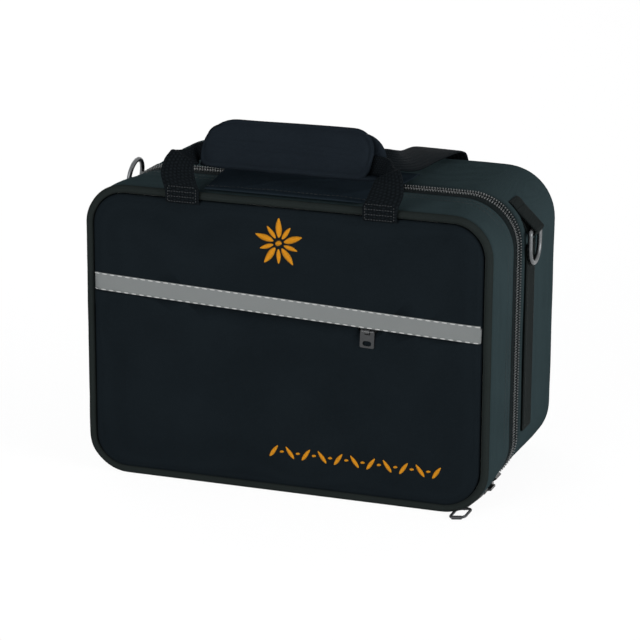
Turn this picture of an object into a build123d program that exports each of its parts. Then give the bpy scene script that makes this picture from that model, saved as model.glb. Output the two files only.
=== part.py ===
from build123d import *
from math import cos, radians, sin
import os

# Pocket trumpet case: a soft clamshell of padded fabric over stiff foam board.
# Millimetres. X runs to the right, Y to the back, Z up.
# The origin is on the floor, midway across the width and the depth.

# Driving sizes of the closed case
CASE_W = 300.0
CASE_H = 214.0
CASE_D = 175.0
CORNER_R = 37.0
REAR_ROUND = 16.0
LEAST_ROUND = 3.0
LID_DEPTH = 69.5

# Plies of a wall, from the outside in
COVER_T = 3.2
CORE_T = 8.0
LINING_T = 1.6
PLY_GAP = 0.1
BINDING_T = 1.0

# Main zip and the sunk band that it is sewn into
RIM_GAP = 0.3
BAND_HALF = 15.0
BAND_DROP = 2.2
TAPE_T = 0.85
COIL_W = 4.6
COIL_H = 2.4
COIL_ROUND = 1.1
ZIP_END_ANGLE = 18.0
ZIP_STOP_L = 2.4
ZIP_STOP_PROUD = 0.6
HINGE_STRIP_T = 1.2

# Bead and panels of the front
BEAD_R = 3.0
PANEL_T = 4.0
POCKET_PLY_T = 3.0
REFLECTIVE_H = 13.0
REFLECTIVE_T = 0.5
REFLECTIVE_DROP = 76.0
REFLECTIVE_TILT = -2.2
POCKET_SLIT_TOP = 2.5
POCKET_SLIT_BOTTOM = 10.5
POCKET_ZIP_END = 125.0
POCKET_TAPE_T = 0.6
POCKET_COIL_H = 3.2
POCKET_COIL_T = 1.1
POCKET_SLIDER_X = 63.0
POCKET_SLIDER_L = 11.0
POCKET_SLIDER_H = 6.4
POCKET_SLIDER_T = 0.8
POCKET_EYE_W = 3.4
POCKET_EYE_R = 1.3
POCKET_EYE_WALL = 0.45
POCKET_PULL_W = 10.4
POCKET_PULL_L = 11.6
POCKET_PULL_T = 1.4
POCKET_PULL_HOLE_W = 6.4
POCKET_PULL_HOLE_H = 3.6

# Flap over the zip, between the handle tabs
FLAP_FRONT_HALF = 59.0
FLAP_REAR_HALF = 71.0
FLAP_SET_BACK = 3.5
FLAP_T = 1.8
FLAP_HEM = 8.0
FLAP_OVERHANG = 13.0
FLAP_OVER_COIL = 0.7

# Webbing
WEB_W = 26.0
WEB_T = 1.8
HANDLE_X = -2.4
FRONT_WEB_X = 74.0
REAR_WEB_X = 70.0
FRONT_TAB_DROP = 7.0
FRONT_TAB_RISE = 2.3
REAR_TAB_L = 40.0
REAR_TAB_BELOW = 2.0
TAB_GAP = 0.4
SIDE_WEB_W = 20.0
SIDE_WEB_T = 1.6
SIDE_WEB_LOW = 38.0
SIDE_WEB_TOP_DROP = 38.0
SIDE_WEB_SET_BACK = 1.5

# Handle grip: u runs back through its thickness, v up its height
GRIP_X = -5.0
GRIP_L = 132.0
GRIP_H = 33.0
GRIP_T = 14.0
GRIP_WALL = 4.2
GRIP_FOLD = 4.6
GRIP_CORNER = 15.0
GRIP_LEAN = 8.0
GRIP_SET_BACK = 15.5
GRIP_OVER_TOP = 15.0
GRIP_PIVOT_V = 7.1
REAR_FLAP_OUT = 4.5
REAR_FLAP = ((9.8, 2.3), (14.0, 2.3), (12.5, 18.0), (8.8, 33.0), (4.6, 33.0), (4.6, 20.0), (9.3, 17.8))
ROLL_W = 12.5
ROLL_T = 3.4
FRONT_ROLL = (7.1, 11.15)
REAR_ROLL = (16.3, 14.25)

# Strap rings
RING_WIRE = 3.5
RING_WIDTH = 24.5
RING_EYE_STAND_OFF = 4.0
RING_EYE_DROP = 28.5
RING_EYE_WALL = 1.6
RING_LEAN = 8.0
RING_BEND = 2.6
RING_TAB_START = 33.0
RING_TAB_END = 57.0

# Main zip's slider and pull, parked at the lower right corner
SLIDER_ANGLE = 33.0
SLIDER_HALF_ANGLE = 8.0
SLIDER_T = 1.8
SLIDER_W = 12.0
PULL_OUT = 22.4
PULL_AHEAD = 9.2
PULL_Z = 2.45
PULL_TILT = 7.5
PULL_EYE_W = 3.4
PULL_BARREL_R = 1.0
PULL_EYE_WALL = 0.45
PULL_WEB_UP = 2.9
PULL_WEB_IN = 1.0
PULL_PLATE_W = 7.6
PULL_PLATE_L = 10.0
PULL_PLATE_T = 1.5
FERRULE_L = 6.0
FERRULE_R = 1.5
STEM_R = 1.0
STEM_FIT = 0.05
TAB_LOOP_W = 11.0
TAB_LOOP_L = 19.0
TAB_LOOP_CORNER = 4.0
TAB_LOOP_SHIFT = -3.4
TAB_LOOP_AHEAD = 10.0
TAB_BAR_R = 1.4
TAB_BAR_L = 7.0

# Fit between pieces that move on each other
RUN_GAP = 0.3

# Inside of the case
CRADLE_SET_BACK = 3.0
WELL_DEPTH = 76.0
BODY_WELL_L = 212.0
BODY_WELL_H = 108.0
BODY_WELL_X = 8.0
WELL_DROP = 126.0
BELL_WELL_L = 58.0
BELL_WELL_H = 124.0
WELL_CORNER = 14.0
MOUTHPIECE_R = 14.0
MOUTHPIECE_DEPTH = 62.0
MOUTHPIECE_X = (62.0, 100.0)
BAY_L = 132.0
BAY_H = 28.0
BAY_DEPTH = 40.0
BAY_X = -44.0
UPPER_WELLS_DROP = 40.0
LID_PAD_T = 14.0

# Sizes that follow
FRONT_Y = -CASE_D / 2
REAR_Y = CASE_D / 2
ZIP_Y = FRONT_Y + LID_DEPTH
LID_RIM_Y = ZIP_Y - RIM_GAP / 2
REAR_RIM_Y = ZIP_Y + RIM_GAP / 2
HINGE_Y = ZIP_Y + BAND_HALF
CORE_INSET = COVER_T + PLY_GAP
LINING_INSET = CORE_INSET + CORE_T + PLY_GAP
INNER_INSET = LINING_INSET + LINING_T + PLY_GAP
PANEL_INSET = 2 * BEAD_R + PLY_GAP
LID_CORE_Y = FRONT_Y + POCKET_PLY_T + PANEL_T + 2 * PLY_GAP
LID_LINING_Y = LID_CORE_Y + CORE_T + PLY_GAP
LID_PAD_Y = LID_LINING_Y + LINING_T + PLY_GAP
TAPE_INSET = BAND_DROP - TAPE_T - 0.05
COIL_INSET = TAPE_INSET - COIL_H
CORNER_X = CASE_W / 2 - CORNER_R
SIDE_WEB_Y = HINGE_Y + SIDE_WEB_SET_BACK + SIDE_WEB_W / 2
SIDE_WEB_TOP = CASE_H - SIDE_WEB_TOP_DROP
REFLECTIVE_MID_Z = CASE_H - REFLECTIVE_DROP
FLAP_FRONT_Y = FRONT_Y + FLAP_SET_BACK
FRONT_TAB_TOP = CASE_H + FRONT_TAB_RISE
REAR_TAB_TOP = CASE_H - REAR_TAB_BELOW
GRIP_FRONT_Y = FRONT_Y + GRIP_SET_BACK
GRIP_LOW_Z = CASE_H + GRIP_OVER_TOP
RING_EYE_X = CASE_W / 2 + RING_EYE_STAND_OFF
RING_EYE_Z = CASE_H - RING_EYE_DROP
WELL_Z = CASE_H - WELL_DROP
UPPER_WELLS_Z = CASE_H - UPPER_WELLS_DROP
ZIP_REACH = CORNER_X + CORNER_R * sin(radians(ZIP_END_ANGLE))
GRIP_BACK = Vector(0, cos(radians(GRIP_LEAN)), -sin(radians(GRIP_LEAN)))
GRIP_UP = Vector(0, sin(radians(GRIP_LEAN)), cos(radians(GRIP_LEAN)))

os.makedirs("parts", exist_ok=True)


def save(builder, name):
    """Label a finished piece and write its STEP file."""
    builder.part.label = name
    export_step(builder.part, f"parts/{name}.step")


def outline(y, inset):
    """The case's rounded outline at depth y, drawn in by inset all round."""
    with BuildSketch(Plane.XZ.offset(-y)) as face:
        with Locations((0, CASE_H / 2)):
            RectangleRounded(CASE_W - 2 * inset, CASE_H - 2 * inset, CORNER_R - inset)
    return face.sketch


def slab(front_y, rear_y, inset):
    """A block of the case's outline between two depths."""
    with BuildPart() as block:
        extrude(outline(rear_y, inset), amount=rear_y - front_y)
    return block.part


def band(front_y, rear_y, outer_inset, inner_inset):
    """A band that runs all round the case between two depths."""
    with BuildPart() as loop:
        add(slab(front_y, rear_y, outer_inset))
        add(slab(front_y, rear_y, inner_inset), mode=Mode.SUBTRACT)
    return loop.part


def rear_tub(front_y, inset):
    """The rear half as a solid block, its back edge rounded over."""
    with BuildPart() as block:
        add(slab(front_y, REAR_Y - inset, inset))
        fillet(block.faces().sort_by(Axis.Y)[-1].edges(), max(REAR_ROUND - inset, LEAST_ROUND))
    return block.part


def zip_run_cutter():
    """What is cut from a ring to leave the zip's run: the bottom between its ends."""
    with BuildPart() as block:
        with Locations((0, ZIP_Y, 0)):
            Box(2 * ZIP_REACH, 4 * BAND_HALF, CORNER_R)
    return block.part


def tilted(x, up, y):
    """A plane on the front that follows the tilt of the reflective tape.

    x runs along the tape from the middle, up is square to it, y is the depth.
    """
    along = Vector(1, 0, 0).rotate(Axis.Y, -REFLECTIVE_TILT)
    across = Vector(0, 0, 1).rotate(Axis.Y, -REFLECTIVE_TILT)
    middle = Vector(0, y, REFLECTIVE_MID_Z)
    return Plane(origin=middle + along * x + across * up, x_dir=along, z_dir=(0, -1, 0))


def tilted_section(x, up, y):
    """A plane square to the reflective tape's length: local x forward, local y down."""
    face = tilted(x, up, y)
    return Plane(origin=face.origin, x_dir=(0, -1, 0), z_dir=face.x_dir)


# Rear cover: padded fabric, sunk by the zip band along its rim
with BuildPart() as rear_cover:
    add(rear_tub(REAR_RIM_Y, 0))
    add(rear_tub(REAR_RIM_Y, COVER_T), mode=Mode.SUBTRACT)
    add(band(REAR_RIM_Y, HINGE_Y, -1.0, BAND_DROP), mode=Mode.SUBTRACT)
save(rear_cover, "rear_cover")

# Rear core: stiff foam board
with BuildPart() as rear_core:
    add(rear_tub(REAR_RIM_Y + BINDING_T + PLY_GAP, CORE_INSET))
    add(rear_tub(REAR_RIM_Y + BINDING_T + PLY_GAP, CORE_INSET + CORE_T), mode=Mode.SUBTRACT)
save(rear_core, "rear_core")

# Rear lining: plush
with BuildPart() as rear_lining:
    add(rear_tub(REAR_RIM_Y + BINDING_T + PLY_GAP, LINING_INSET))
    add(rear_tub(REAR_RIM_Y + BINDING_T + PLY_GAP, LINING_INSET + LINING_T), mode=Mode.SUBTRACT)
save(rear_lining, "rear_lining")

# Binding over the raw edges of the rear board and lining
with BuildPart() as rear_rim_binding:
    add(band(REAR_RIM_Y, REAR_RIM_Y + BINDING_T, CORE_INSET, LINING_INSET + LINING_T))
save(rear_rim_binding, "rear_rim_binding")

# Foam cradle with the wells for the instrument, two mouthpieces and small things
CRADLE_Y = REAR_RIM_Y + CRADLE_SET_BACK
with BuildPart() as instrument_cradle:
    add(rear_tub(CRADLE_Y, INNER_INSET))
    with BuildSketch(Plane.XZ.offset(-CRADLE_Y)) as wells:
        with Locations((BODY_WELL_X, WELL_Z)):
            RectangleRounded(BODY_WELL_L, BODY_WELL_H, WELL_CORNER)
        with Locations((BODY_WELL_X - BODY_WELL_L / 2, WELL_Z)):
            RectangleRounded(BELL_WELL_L, BELL_WELL_H, WELL_CORNER)
    extrude(amount=-WELL_DEPTH, mode=Mode.SUBTRACT)
    with BuildSketch(Plane.XZ.offset(-CRADLE_Y)) as mouthpieces:
        with Locations(*[(x, UPPER_WELLS_Z) for x in MOUTHPIECE_X]):
            Circle(MOUTHPIECE_R)
    extrude(amount=-MOUTHPIECE_DEPTH, mode=Mode.SUBTRACT)
    with BuildSketch(Plane.XZ.offset(-CRADLE_Y)) as bay:
        with Locations((BAY_X, UPPER_WELLS_Z)):
            RectangleRounded(BAY_L, BAY_H, WELL_CORNER / 2)
    extrude(amount=-BAY_DEPTH, mode=Mode.SUBTRACT)
save(instrument_cradle, "instrument_cradle")

# Lid gusset: the padded fabric band behind the bead
GUSSET_Y = FRONT_Y + 2 * BEAD_R + PLY_GAP
with BuildPart() as lid_gusset:
    add(band(GUSSET_Y, LID_RIM_Y, 0, COVER_T))
    add(band(ZIP_Y - BAND_HALF, LID_RIM_Y, -1.0, BAND_DROP), mode=Mode.SUBTRACT)
save(lid_gusset, "lid_gusset")

# Piping bead round the front
with BuildPart() as piping_bead:
    with BuildLine() as bead_path:
        add(outline(FRONT_Y + BEAD_R, BEAD_R).face().outer_wire())
    with BuildSketch(Plane(origin=(0, FRONT_Y + BEAD_R, BEAD_R), z_dir=(1, 0, 0))) as bead_round:
        Circle(BEAD_R)
    sweep()
save(piping_bead, "piping_bead")

# Front panel: the padded backing of the whole front
PANEL_Y = FRONT_Y + POCKET_PLY_T + PLY_GAP
with BuildPart() as front_panel:
    add(slab(PANEL_Y, PANEL_Y + PANEL_T, PANEL_INSET))
save(front_panel, "front_panel")

# Outer plies of the front, above and below the pocket's slit
HALF_REACH = CASE_W
with BuildPart() as upper_panel:
    add(slab(FRONT_Y, FRONT_Y + POCKET_PLY_T, PANEL_INSET))
    with BuildSketch(tilted(0, -POCKET_SLIT_TOP, FRONT_Y)) as below_slit:
        Rectangle(2 * HALF_REACH, CASE_H, align=(Align.CENTER, Align.MAX))
    extrude(amount=-POCKET_PLY_T, mode=Mode.SUBTRACT)
save(upper_panel, "upper_panel")

with BuildPart() as pocket_panel:
    add(slab(FRONT_Y, FRONT_Y + POCKET_PLY_T, PANEL_INSET))
    with BuildSketch(tilted(0, -POCKET_SLIT_BOTTOM, FRONT_Y)) as above_slit:
        Rectangle(2 * HALF_REACH, CASE_H, align=(Align.CENTER, Align.MIN))
    extrude(amount=-POCKET_PLY_T, mode=Mode.SUBTRACT)
save(pocket_panel, "pocket_panel")

# Reflective tape across the front, over the upper edge of the slit
REFLECTIVE_BACK_Y = FRONT_Y - PLY_GAP
with BuildPart() as reflective_tape:
    with BuildSketch(tilted(0, 0, REFLECTIVE_BACK_Y)) as strip:
        Rectangle(CASE_W - 2 * PANEL_INSET, REFLECTIVE_H)
    extrude(amount=REFLECTIVE_T)
save(reflective_tape, "reflective_tape")

# Pocket zip: its tape at the bottom of the slit, and its coil
SLIT_MID = -(POCKET_SLIT_TOP + POCKET_SLIT_BOTTOM) / 2
SLIT_H = POCKET_SLIT_BOTTOM - POCKET_SLIT_TOP
POCKET_TAPE_Y = FRONT_Y + POCKET_PLY_T
with BuildPart() as pocket_zip_tape:
    with BuildSketch(tilted(0, SLIT_MID, POCKET_TAPE_Y)) as tape_shape:
        Rectangle(2 * POCKET_ZIP_END, SLIT_H - 2 * PLY_GAP)
    extrude(amount=POCKET_TAPE_T)
save(pocket_zip_tape, "pocket_zip_tape")

POCKET_COIL_Y = POCKET_TAPE_Y - POCKET_TAPE_T
with BuildPart() as pocket_zip_coil:
    with BuildSketch(tilted(0, SLIT_MID, POCKET_COIL_Y)) as coil_shape:
        Rectangle(2 * POCKET_ZIP_END, POCKET_COIL_H)
    extrude(amount=POCKET_COIL_T)
    chamfer(pocket_zip_coil.faces().sort_by(Axis.Y)[0].edges(), POCKET_COIL_T / 2)
save(pocket_zip_coil, "pocket_zip_coil")

# Pocket slider, under the reflective tape, with the eye that holds its puller
POCKET_SLIDER_Y = POCKET_COIL_Y - POCKET_COIL_T - RUN_GAP
POCKET_EYE_OUT = POCKET_EYE_R + POCKET_EYE_WALL
POCKET_EYE_UP = -REFLECTIVE_H / 2 - RUN_GAP - POCKET_EYE_OUT
POCKET_EYE_Y = REFLECTIVE_BACK_Y - REFLECTIVE_T - RUN_GAP - POCKET_PULL_T / 2
with BuildPart() as pocket_zip_slider:
    with BuildSketch(tilted(POCKET_SLIDER_X, SLIT_MID, POCKET_SLIDER_Y)) as slider_shape:
        RectangleRounded(POCKET_SLIDER_L, POCKET_SLIDER_H, POCKET_SLIDER_H / 3)
    extrude(amount=POCKET_SLIDER_T)
    with BuildSketch(tilted_section(POCKET_SLIDER_X, POCKET_EYE_UP, POCKET_EYE_Y)) as eye_shape:
        Circle(POCKET_EYE_OUT)
        with Locations(((POCKET_EYE_Y - POCKET_SLIDER_Y) / 2, 0)):
            Rectangle(POCKET_SLIDER_Y - POCKET_EYE_Y, POCKET_EYE_R)
        Circle(POCKET_EYE_R, mode=Mode.SUBTRACT)
    extrude(amount=POCKET_EYE_W / 2, both=True)
save(pocket_zip_slider, "pocket_zip_slider")

# Pocket puller: a plate that hangs in the eye by its barrel
POCKET_BARREL_R = POCKET_EYE_R - RUN_GAP
POCKET_NOTCH_W = POCKET_EYE_W + 2 * RUN_GAP
POCKET_NOTCH_H = POCKET_EYE_OUT + RUN_GAP
with BuildPart() as pocket_zip_puller:
    with BuildSketch(tilted(POCKET_SLIDER_X, POCKET_EYE_UP, POCKET_EYE_Y)) as plate_shape:
        with Locations((0, (POCKET_BARREL_R - POCKET_PULL_L) / 2)):
            RectangleRounded(POCKET_PULL_W, POCKET_PULL_L + POCKET_BARREL_R, 1.0)
        with Locations((0, -POCKET_PULL_L + 1.4 + POCKET_PULL_HOLE_H / 2)):
            SlotOverall(POCKET_PULL_HOLE_W, POCKET_PULL_HOLE_H, mode=Mode.SUBTRACT)
        Rectangle(POCKET_NOTCH_W, 2 * POCKET_NOTCH_H, mode=Mode.SUBTRACT)
    extrude(amount=POCKET_PULL_T / 2, both=True)
    with BuildSketch(tilted_section(POCKET_SLIDER_X, POCKET_EYE_UP, POCKET_EYE_Y)) as barrel_shape:
        Circle(POCKET_BARREL_R)
    extrude(amount=POCKET_PULL_W / 2 - 0.5, both=True)
save(pocket_zip_puller, "pocket_zip_puller")

# Lid core, lining, inner pad and rim binding
with BuildPart() as lid_core:
    add(slab(LID_CORE_Y, LID_RIM_Y - BINDING_T - PLY_GAP, CORE_INSET))
    add(slab(LID_CORE_Y + CORE_T, LID_RIM_Y, CORE_INSET + CORE_T), mode=Mode.SUBTRACT)
save(lid_core, "lid_core")

with BuildPart() as lid_lining:
    add(slab(LID_LINING_Y, LID_RIM_Y - BINDING_T - PLY_GAP, LINING_INSET))
    add(slab(LID_LINING_Y + LINING_T, LID_RIM_Y, LINING_INSET + LINING_T), mode=Mode.SUBTRACT)
save(lid_lining, "lid_lining")

with BuildPart() as lid_pad:
    add(slab(LID_PAD_Y, LID_PAD_Y + LID_PAD_T, INNER_INSET))
    fillet(lid_pad.faces().sort_by(Axis.Y)[-1].edges(), LID_PAD_T / 2)
save(lid_pad, "lid_pad")

with BuildPart() as lid_rim_binding:
    add(band(LID_RIM_Y - BINDING_T, LID_RIM_Y, CORE_INSET, LINING_INSET + LINING_T))
save(lid_rim_binding, "lid_rim_binding")

# Main zip: a tape and a coil on each half
with BuildPart() as rear_zip_tape:
    add(band(REAR_RIM_Y, HINGE_Y - PLY_GAP, TAPE_INSET, TAPE_INSET + TAPE_T))
    add(zip_run_cutter(), mode=Mode.SUBTRACT)
save(rear_zip_tape, "rear_zip_tape")

with BuildPart() as lid_zip_tape:
    add(band(ZIP_Y - BAND_HALF + PLY_GAP, LID_RIM_Y, TAPE_INSET, TAPE_INSET + TAPE_T))
    add(zip_run_cutter(), mode=Mode.SUBTRACT)
save(lid_zip_tape, "lid_zip_tape")


def coil(front_y, rear_y):
    """One half's row of teeth along the zip, its outer edges rounded."""
    with BuildPart() as row:
        add(band(front_y, rear_y, COIL_INSET, TAPE_INSET))
        ends = row.faces().sort_by(Axis.Y)
        fillet(ends[0].outer_wire().edges() + ends[-1].outer_wire().edges(), COIL_ROUND)
        add(zip_run_cutter(), mode=Mode.SUBTRACT)
    return row


save(coil(REAR_RIM_Y, REAR_RIM_Y + COIL_W), "rear_zip_coil")
save(coil(LID_RIM_Y - COIL_W, LID_RIM_Y), "lid_zip_coil")


def box_between(low, high):
    """A box from its lowest corner to its highest."""
    with BuildPart() as block:
        with Locations(low):
            Box(*[b - a for a, b in zip(low, high)], align=Align.MIN)
    return block.part


# Stops at the two ends of the main zip
STOP_OUT = ZIP_REACH - PLY_GAP
STOP_IN = STOP_OUT - ZIP_STOP_L
with BuildPart() as zip_end_stops:
    add(band(LID_RIM_Y - COIL_W, REAR_RIM_Y + COIL_W, -ZIP_STOP_PROUD, TAPE_INSET))
    add(box_between((-CASE_W, -CASE_D, CORNER_R), (CASE_W, CASE_D, CASE_H + 2 * COIL_H)), mode=Mode.SUBTRACT)
    add(box_between((-STOP_IN, -CASE_D, -CORNER_R), (STOP_IN, CASE_D, CORNER_R)), mode=Mode.SUBTRACT)
    add(box_between((-STOP_OUT, -CASE_D, -CORNER_R), (STOP_OUT, CASE_D, CORNER_R)), mode=Mode.INTERSECT)
save(zip_end_stops, "zip_end_stops")

# Fabric strip along the bottom that joins the two halves
STRIP_HALF = STOP_IN - PLY_GAP
STRIP_INSET = BAND_DROP - PLY_GAP - HINGE_STRIP_T
with BuildPart() as hinge_strip:
    add(band(ZIP_Y - BAND_HALF + 5 * PLY_GAP, HINGE_Y - 2 * PLY_GAP, STRIP_INSET, STRIP_INSET + HINGE_STRIP_T))
    add(box_between((-STRIP_HALF, -CASE_D, -CORNER_R), (STRIP_HALF, CASE_D, CORNER_R)), mode=Mode.INTERSECT)
save(hinge_strip, "hinge_strip")

# Flap over the zip on the top, its front edge hemmed
FLAP_Z = CASE_H - COIL_INSET + FLAP_OVER_COIL
FLAP_REAR_Y = HINGE_Y + FLAP_OVERHANG
FLAP_CORNERS = (
    (HANDLE_X - FLAP_FRONT_HALF, FLAP_FRONT_Y),
    (HANDLE_X + FLAP_FRONT_HALF, FLAP_FRONT_Y),
    (HANDLE_X + FLAP_REAR_HALF, FLAP_REAR_Y),
    (HANDLE_X - FLAP_REAR_HALF, FLAP_REAR_Y),
)
with BuildPart() as zip_guard_flap:
    with BuildSketch(Plane.XY.offset(FLAP_Z)) as flap_shape:
        Polygon(*FLAP_CORNERS, align=None)
    extrude(amount=FLAP_T)
    with BuildSketch(Plane.XY.offset(CASE_H + PLY_GAP)) as hem_shape:
        with Locations((HANDLE_X, FLAP_FRONT_Y + FLAP_HEM / 2)):
            Rectangle(2 * FLAP_FRONT_HALF, FLAP_HEM)
    extrude(amount=FLAP_Z - CASE_H - PLY_GAP)
save(zip_guard_flap, "zip_guard_flap")

# Tabs sewn to the front and to the back that carry the two handle loops
FRONT_TAB_Y = FRONT_Y - PLY_GAP - WEB_T
with BuildPart() as front_handle_tabs:
    with BuildSketch(Plane.XZ.offset(-FRONT_TAB_Y)) as front_tab_shapes:
        for side in (-1, 1):
            with Locations((HANDLE_X + side * FRONT_WEB_X, FRONT_TAB_TOP)):
                Rectangle(WEB_W, FRONT_TAB_TOP - CASE_H + FRONT_TAB_DROP, align=(Align.CENTER, Align.MAX))
    extrude(amount=-WEB_T)
save(front_handle_tabs, "front_handle_tabs")

REAR_TAB_Y = REAR_Y + PLY_GAP + WEB_T
with BuildPart() as rear_handle_tabs:
    with BuildSketch(Plane.XZ.offset(-REAR_TAB_Y)) as rear_tab_shapes:
        for side in (-1, 1):
            with Locations((HANDLE_X + side * REAR_WEB_X, REAR_TAB_TOP)):
                Rectangle(WEB_W, REAR_TAB_L, align=(Align.CENTER, Align.MAX))
    extrude(amount=WEB_T)
save(rear_handle_tabs, "rear_handle_tabs")


def grip_point(u, v):
    """A point of the grip's cross section, at the middle of the case."""
    return Vector(0, GRIP_FRONT_Y, GRIP_LOW_Z) + GRIP_BACK * u + GRIP_UP * v


def grip_section(x):
    """The plane of the grip's cross section at x: local x is u, local y is v."""
    return Plane(origin=grip_point(0, 0) + Vector(x, 0, 0), x_dir=GRIP_BACK, z_dir=(1, 0, 0))


def grip_face(u, v):
    """A plane along the grip, facing forward, at height v up its middle."""
    return Plane(origin=grip_point(u, v) + Vector(GRIP_X, 0, 0), x_dir=(1, 0, 0), z_dir=-GRIP_BACK)


def grip_outline(length, low):
    """The grip's outline from height low up, its two top corners rounded."""
    with BuildSketch() as face:
        Rectangle(length, GRIP_H - low, align=(Align.CENTER, Align.MIN))
        fillet(face.vertices().group_by(Axis.Y)[-1], GRIP_CORNER)
    return face.sketch


# Front flap of the grip: closes over the rolled webbing and opens forward
GRIP_LEFT = GRIP_X - GRIP_L / 2
with BuildPart() as grip_flap:
    extrude(grip_face(0, GRIP_PIVOT_V) * grip_outline(GRIP_L, GRIP_PIVOT_V), amount=-GRIP_WALL)
    with BuildSketch(grip_section(GRIP_LEFT)) as flap_root:
        with Locations((GRIP_WALL / 2, GRIP_PIVOT_V)):
            Circle(GRIP_WALL / 2)
    extrude(amount=GRIP_L)
save(grip_flap, "grip_flap")

# Rest of the grip: the fold under the webbing and the rear flap
with BuildPart() as grip_pad:
    with BuildSketch(grip_section(GRIP_LEFT - REAR_FLAP_OUT)) as rear_flap_shape:
        Polygon(*REAR_FLAP, align=None)
    extrude(amount=GRIP_L + REAR_FLAP_OUT)
    extrude(grip_face(0, 0) * grip_outline(GRIP_L + 2 * REAR_FLAP_OUT, 0), amount=-GRIP_T, mode=Mode.INTERSECT)
    with BuildSketch(grip_section(GRIP_LEFT)) as fold_shape:
        with Locations((GRIP_T / 2, GRIP_FOLD / 2)):
            SlotOverall(GRIP_T, GRIP_FOLD)
    extrude(amount=GRIP_L)
save(grip_pad, "grip_pad")


def mirrored(stations):
    """The stations of a strap's left half, followed by the same for its right half.

    A station is the middle of the strap, the direction across its width, the
    direction it runs in, its width and its thickness. x is from the handle's middle.
    """
    other = []
    for (x, y, z), across, along, width, thick in reversed(stations):
        across_x, across_y, across_z = Vector(across)
        along_x, along_y, along_z = Vector(along)
        other.append(((-x, y, z), (-across_x, across_y, across_z), (along_x, -along_y, -along_z), width, thick))
    return stations + other


def strap(stations):
    """A strap lofted straight from each station to the next."""
    with BuildPart() as web:
        for (x, y, z), across, along, width, thick in stations:
            with BuildSketch(Plane(origin=(HANDLE_X + x, y, z), x_dir=across, z_dir=along)):
                Rectangle(width, thick)
        loft(ruled=True)
    return web


def turned(angle):
    """Across and along of a strap that turns in its own plane, from up to sideways."""
    c, s = cos(radians(angle)), sin(radians(angle))
    return (c, 0, -s), (s, 0, c)


# Front handle loop: up from the tabs, folded in two where it enters the grip
FRONT_BAR = grip_point(*FRONT_ROLL)
FRONT_LEG_Y = FRONT_TAB_Y + WEB_T / 2
FRONT_LEG_Z = FRONT_TAB_TOP + TAB_GAP
front_stations = [
    ((-FRONT_WEB_X, FRONT_LEG_Y, FRONT_LEG_Z), (1, 0, 0), (0, 0, 1), WEB_W, WEB_T),
    ((-FRONT_WEB_X, FRONT_LEG_Y + 1.5, FRONT_LEG_Z + 7.3), (1, 0, 0), (0, 0.3, 1), WEB_W, WEB_T),
    ((-76.6, FRONT_Y + 8.5, GRIP_LOW_Z + 2.0), *turned(50), 21.0, 2.2),
    ((-73.6, FRONT_Y + 17.5, GRIP_LOW_Z + 7.5), *turned(72), 15.0, 2.8),
    ((-70.2, FRONT_BAR.Y, FRONT_BAR.Z), -GRIP_UP, (1, 0, 0), ROLL_W, ROLL_T),
]
save(strap(mirrored(front_stations)), "front_handle_loop")

# Rear handle loop: over the top to the grip, where it lies along the grip's back
REAR_BAR = grip_point(*REAR_ROLL)
REAR_LEG_Y = REAR_TAB_Y - WEB_T / 2
REAR_LEG_Z = REAR_TAB_TOP + TAB_GAP


def tipped(angle):
    """Across the width of a strap that runs front to back, from flat to on edge."""
    return (cos(radians(angle)), 0, sin(radians(angle)))


rear_stations = [
    ((-REAR_WEB_X, REAR_LEG_Y, REAR_LEG_Z), (1, 0, 0), (0, 0, 1), WEB_W, WEB_T),
    ((-REAR_WEB_X, REAR_LEG_Y - 2.0, REAR_LEG_Z + 6.0), (1, 0, 0), (0, -0.5, 1), WEB_W, WEB_T),
    ((-REAR_WEB_X, REAR_Y - 11.5, CASE_H + 9.5), (1, 0, 0), (0, -1, 0.2), WEB_W, WEB_T),
    ((-REAR_WEB_X, REAR_Y - 47.5, CASE_H + 16.0), tipped(20), (0, -1, 0), 24.0, WEB_T),
    ((-69.0, REAR_BAR.Y + 54.0, CASE_H + 23.0), tipped(50), (0, -1, 0), 20.0, 2.4),
    ((-66.0, REAR_BAR.Y + 18.0, CASE_H + 27.5), (0, 0, 1), (0.15, -1, 0), ROLL_W + 2.0, 3.0),
    ((-62.5, REAR_BAR.Y + 6.4, CASE_H + 27.5), (0, 0, 1), (0.7, -0.7, 0), ROLL_W, ROLL_T),
    ((-52.0, REAR_BAR.Y, REAR_BAR.Z), GRIP_UP, (1, 0, 0), ROLL_W, ROLL_T),
]
save(strap(mirrored(rear_stations)), "rear_handle_loop")

# Webbing sewn down each side
for side, name in ((-1, "side_strap_left"), (1, "side_strap_right")):
    with BuildPart() as side_strap:
        with BuildSketch(Plane.XZ.offset(-(SIDE_WEB_Y + SIDE_WEB_W / 2))):
            with Locations((side * (CASE_W / 2 + PLY_GAP + SIDE_WEB_T / 2), SIDE_WEB_LOW)):
                Rectangle(SIDE_WEB_T, SIDE_WEB_TOP - SIDE_WEB_LOW, align=(Align.CENTER, Align.MIN))
        extrude(amount=SIDE_WEB_W)
    save(side_strap, name)


def corner_point(side, angle, radius):
    """A point about the middle of the top corner's round, the angle up from sideways."""
    x = CORNER_X + radius * cos(radians(angle))
    return (side * x, CASE_H - CORNER_R + radius * sin(radians(angle)))


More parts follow.
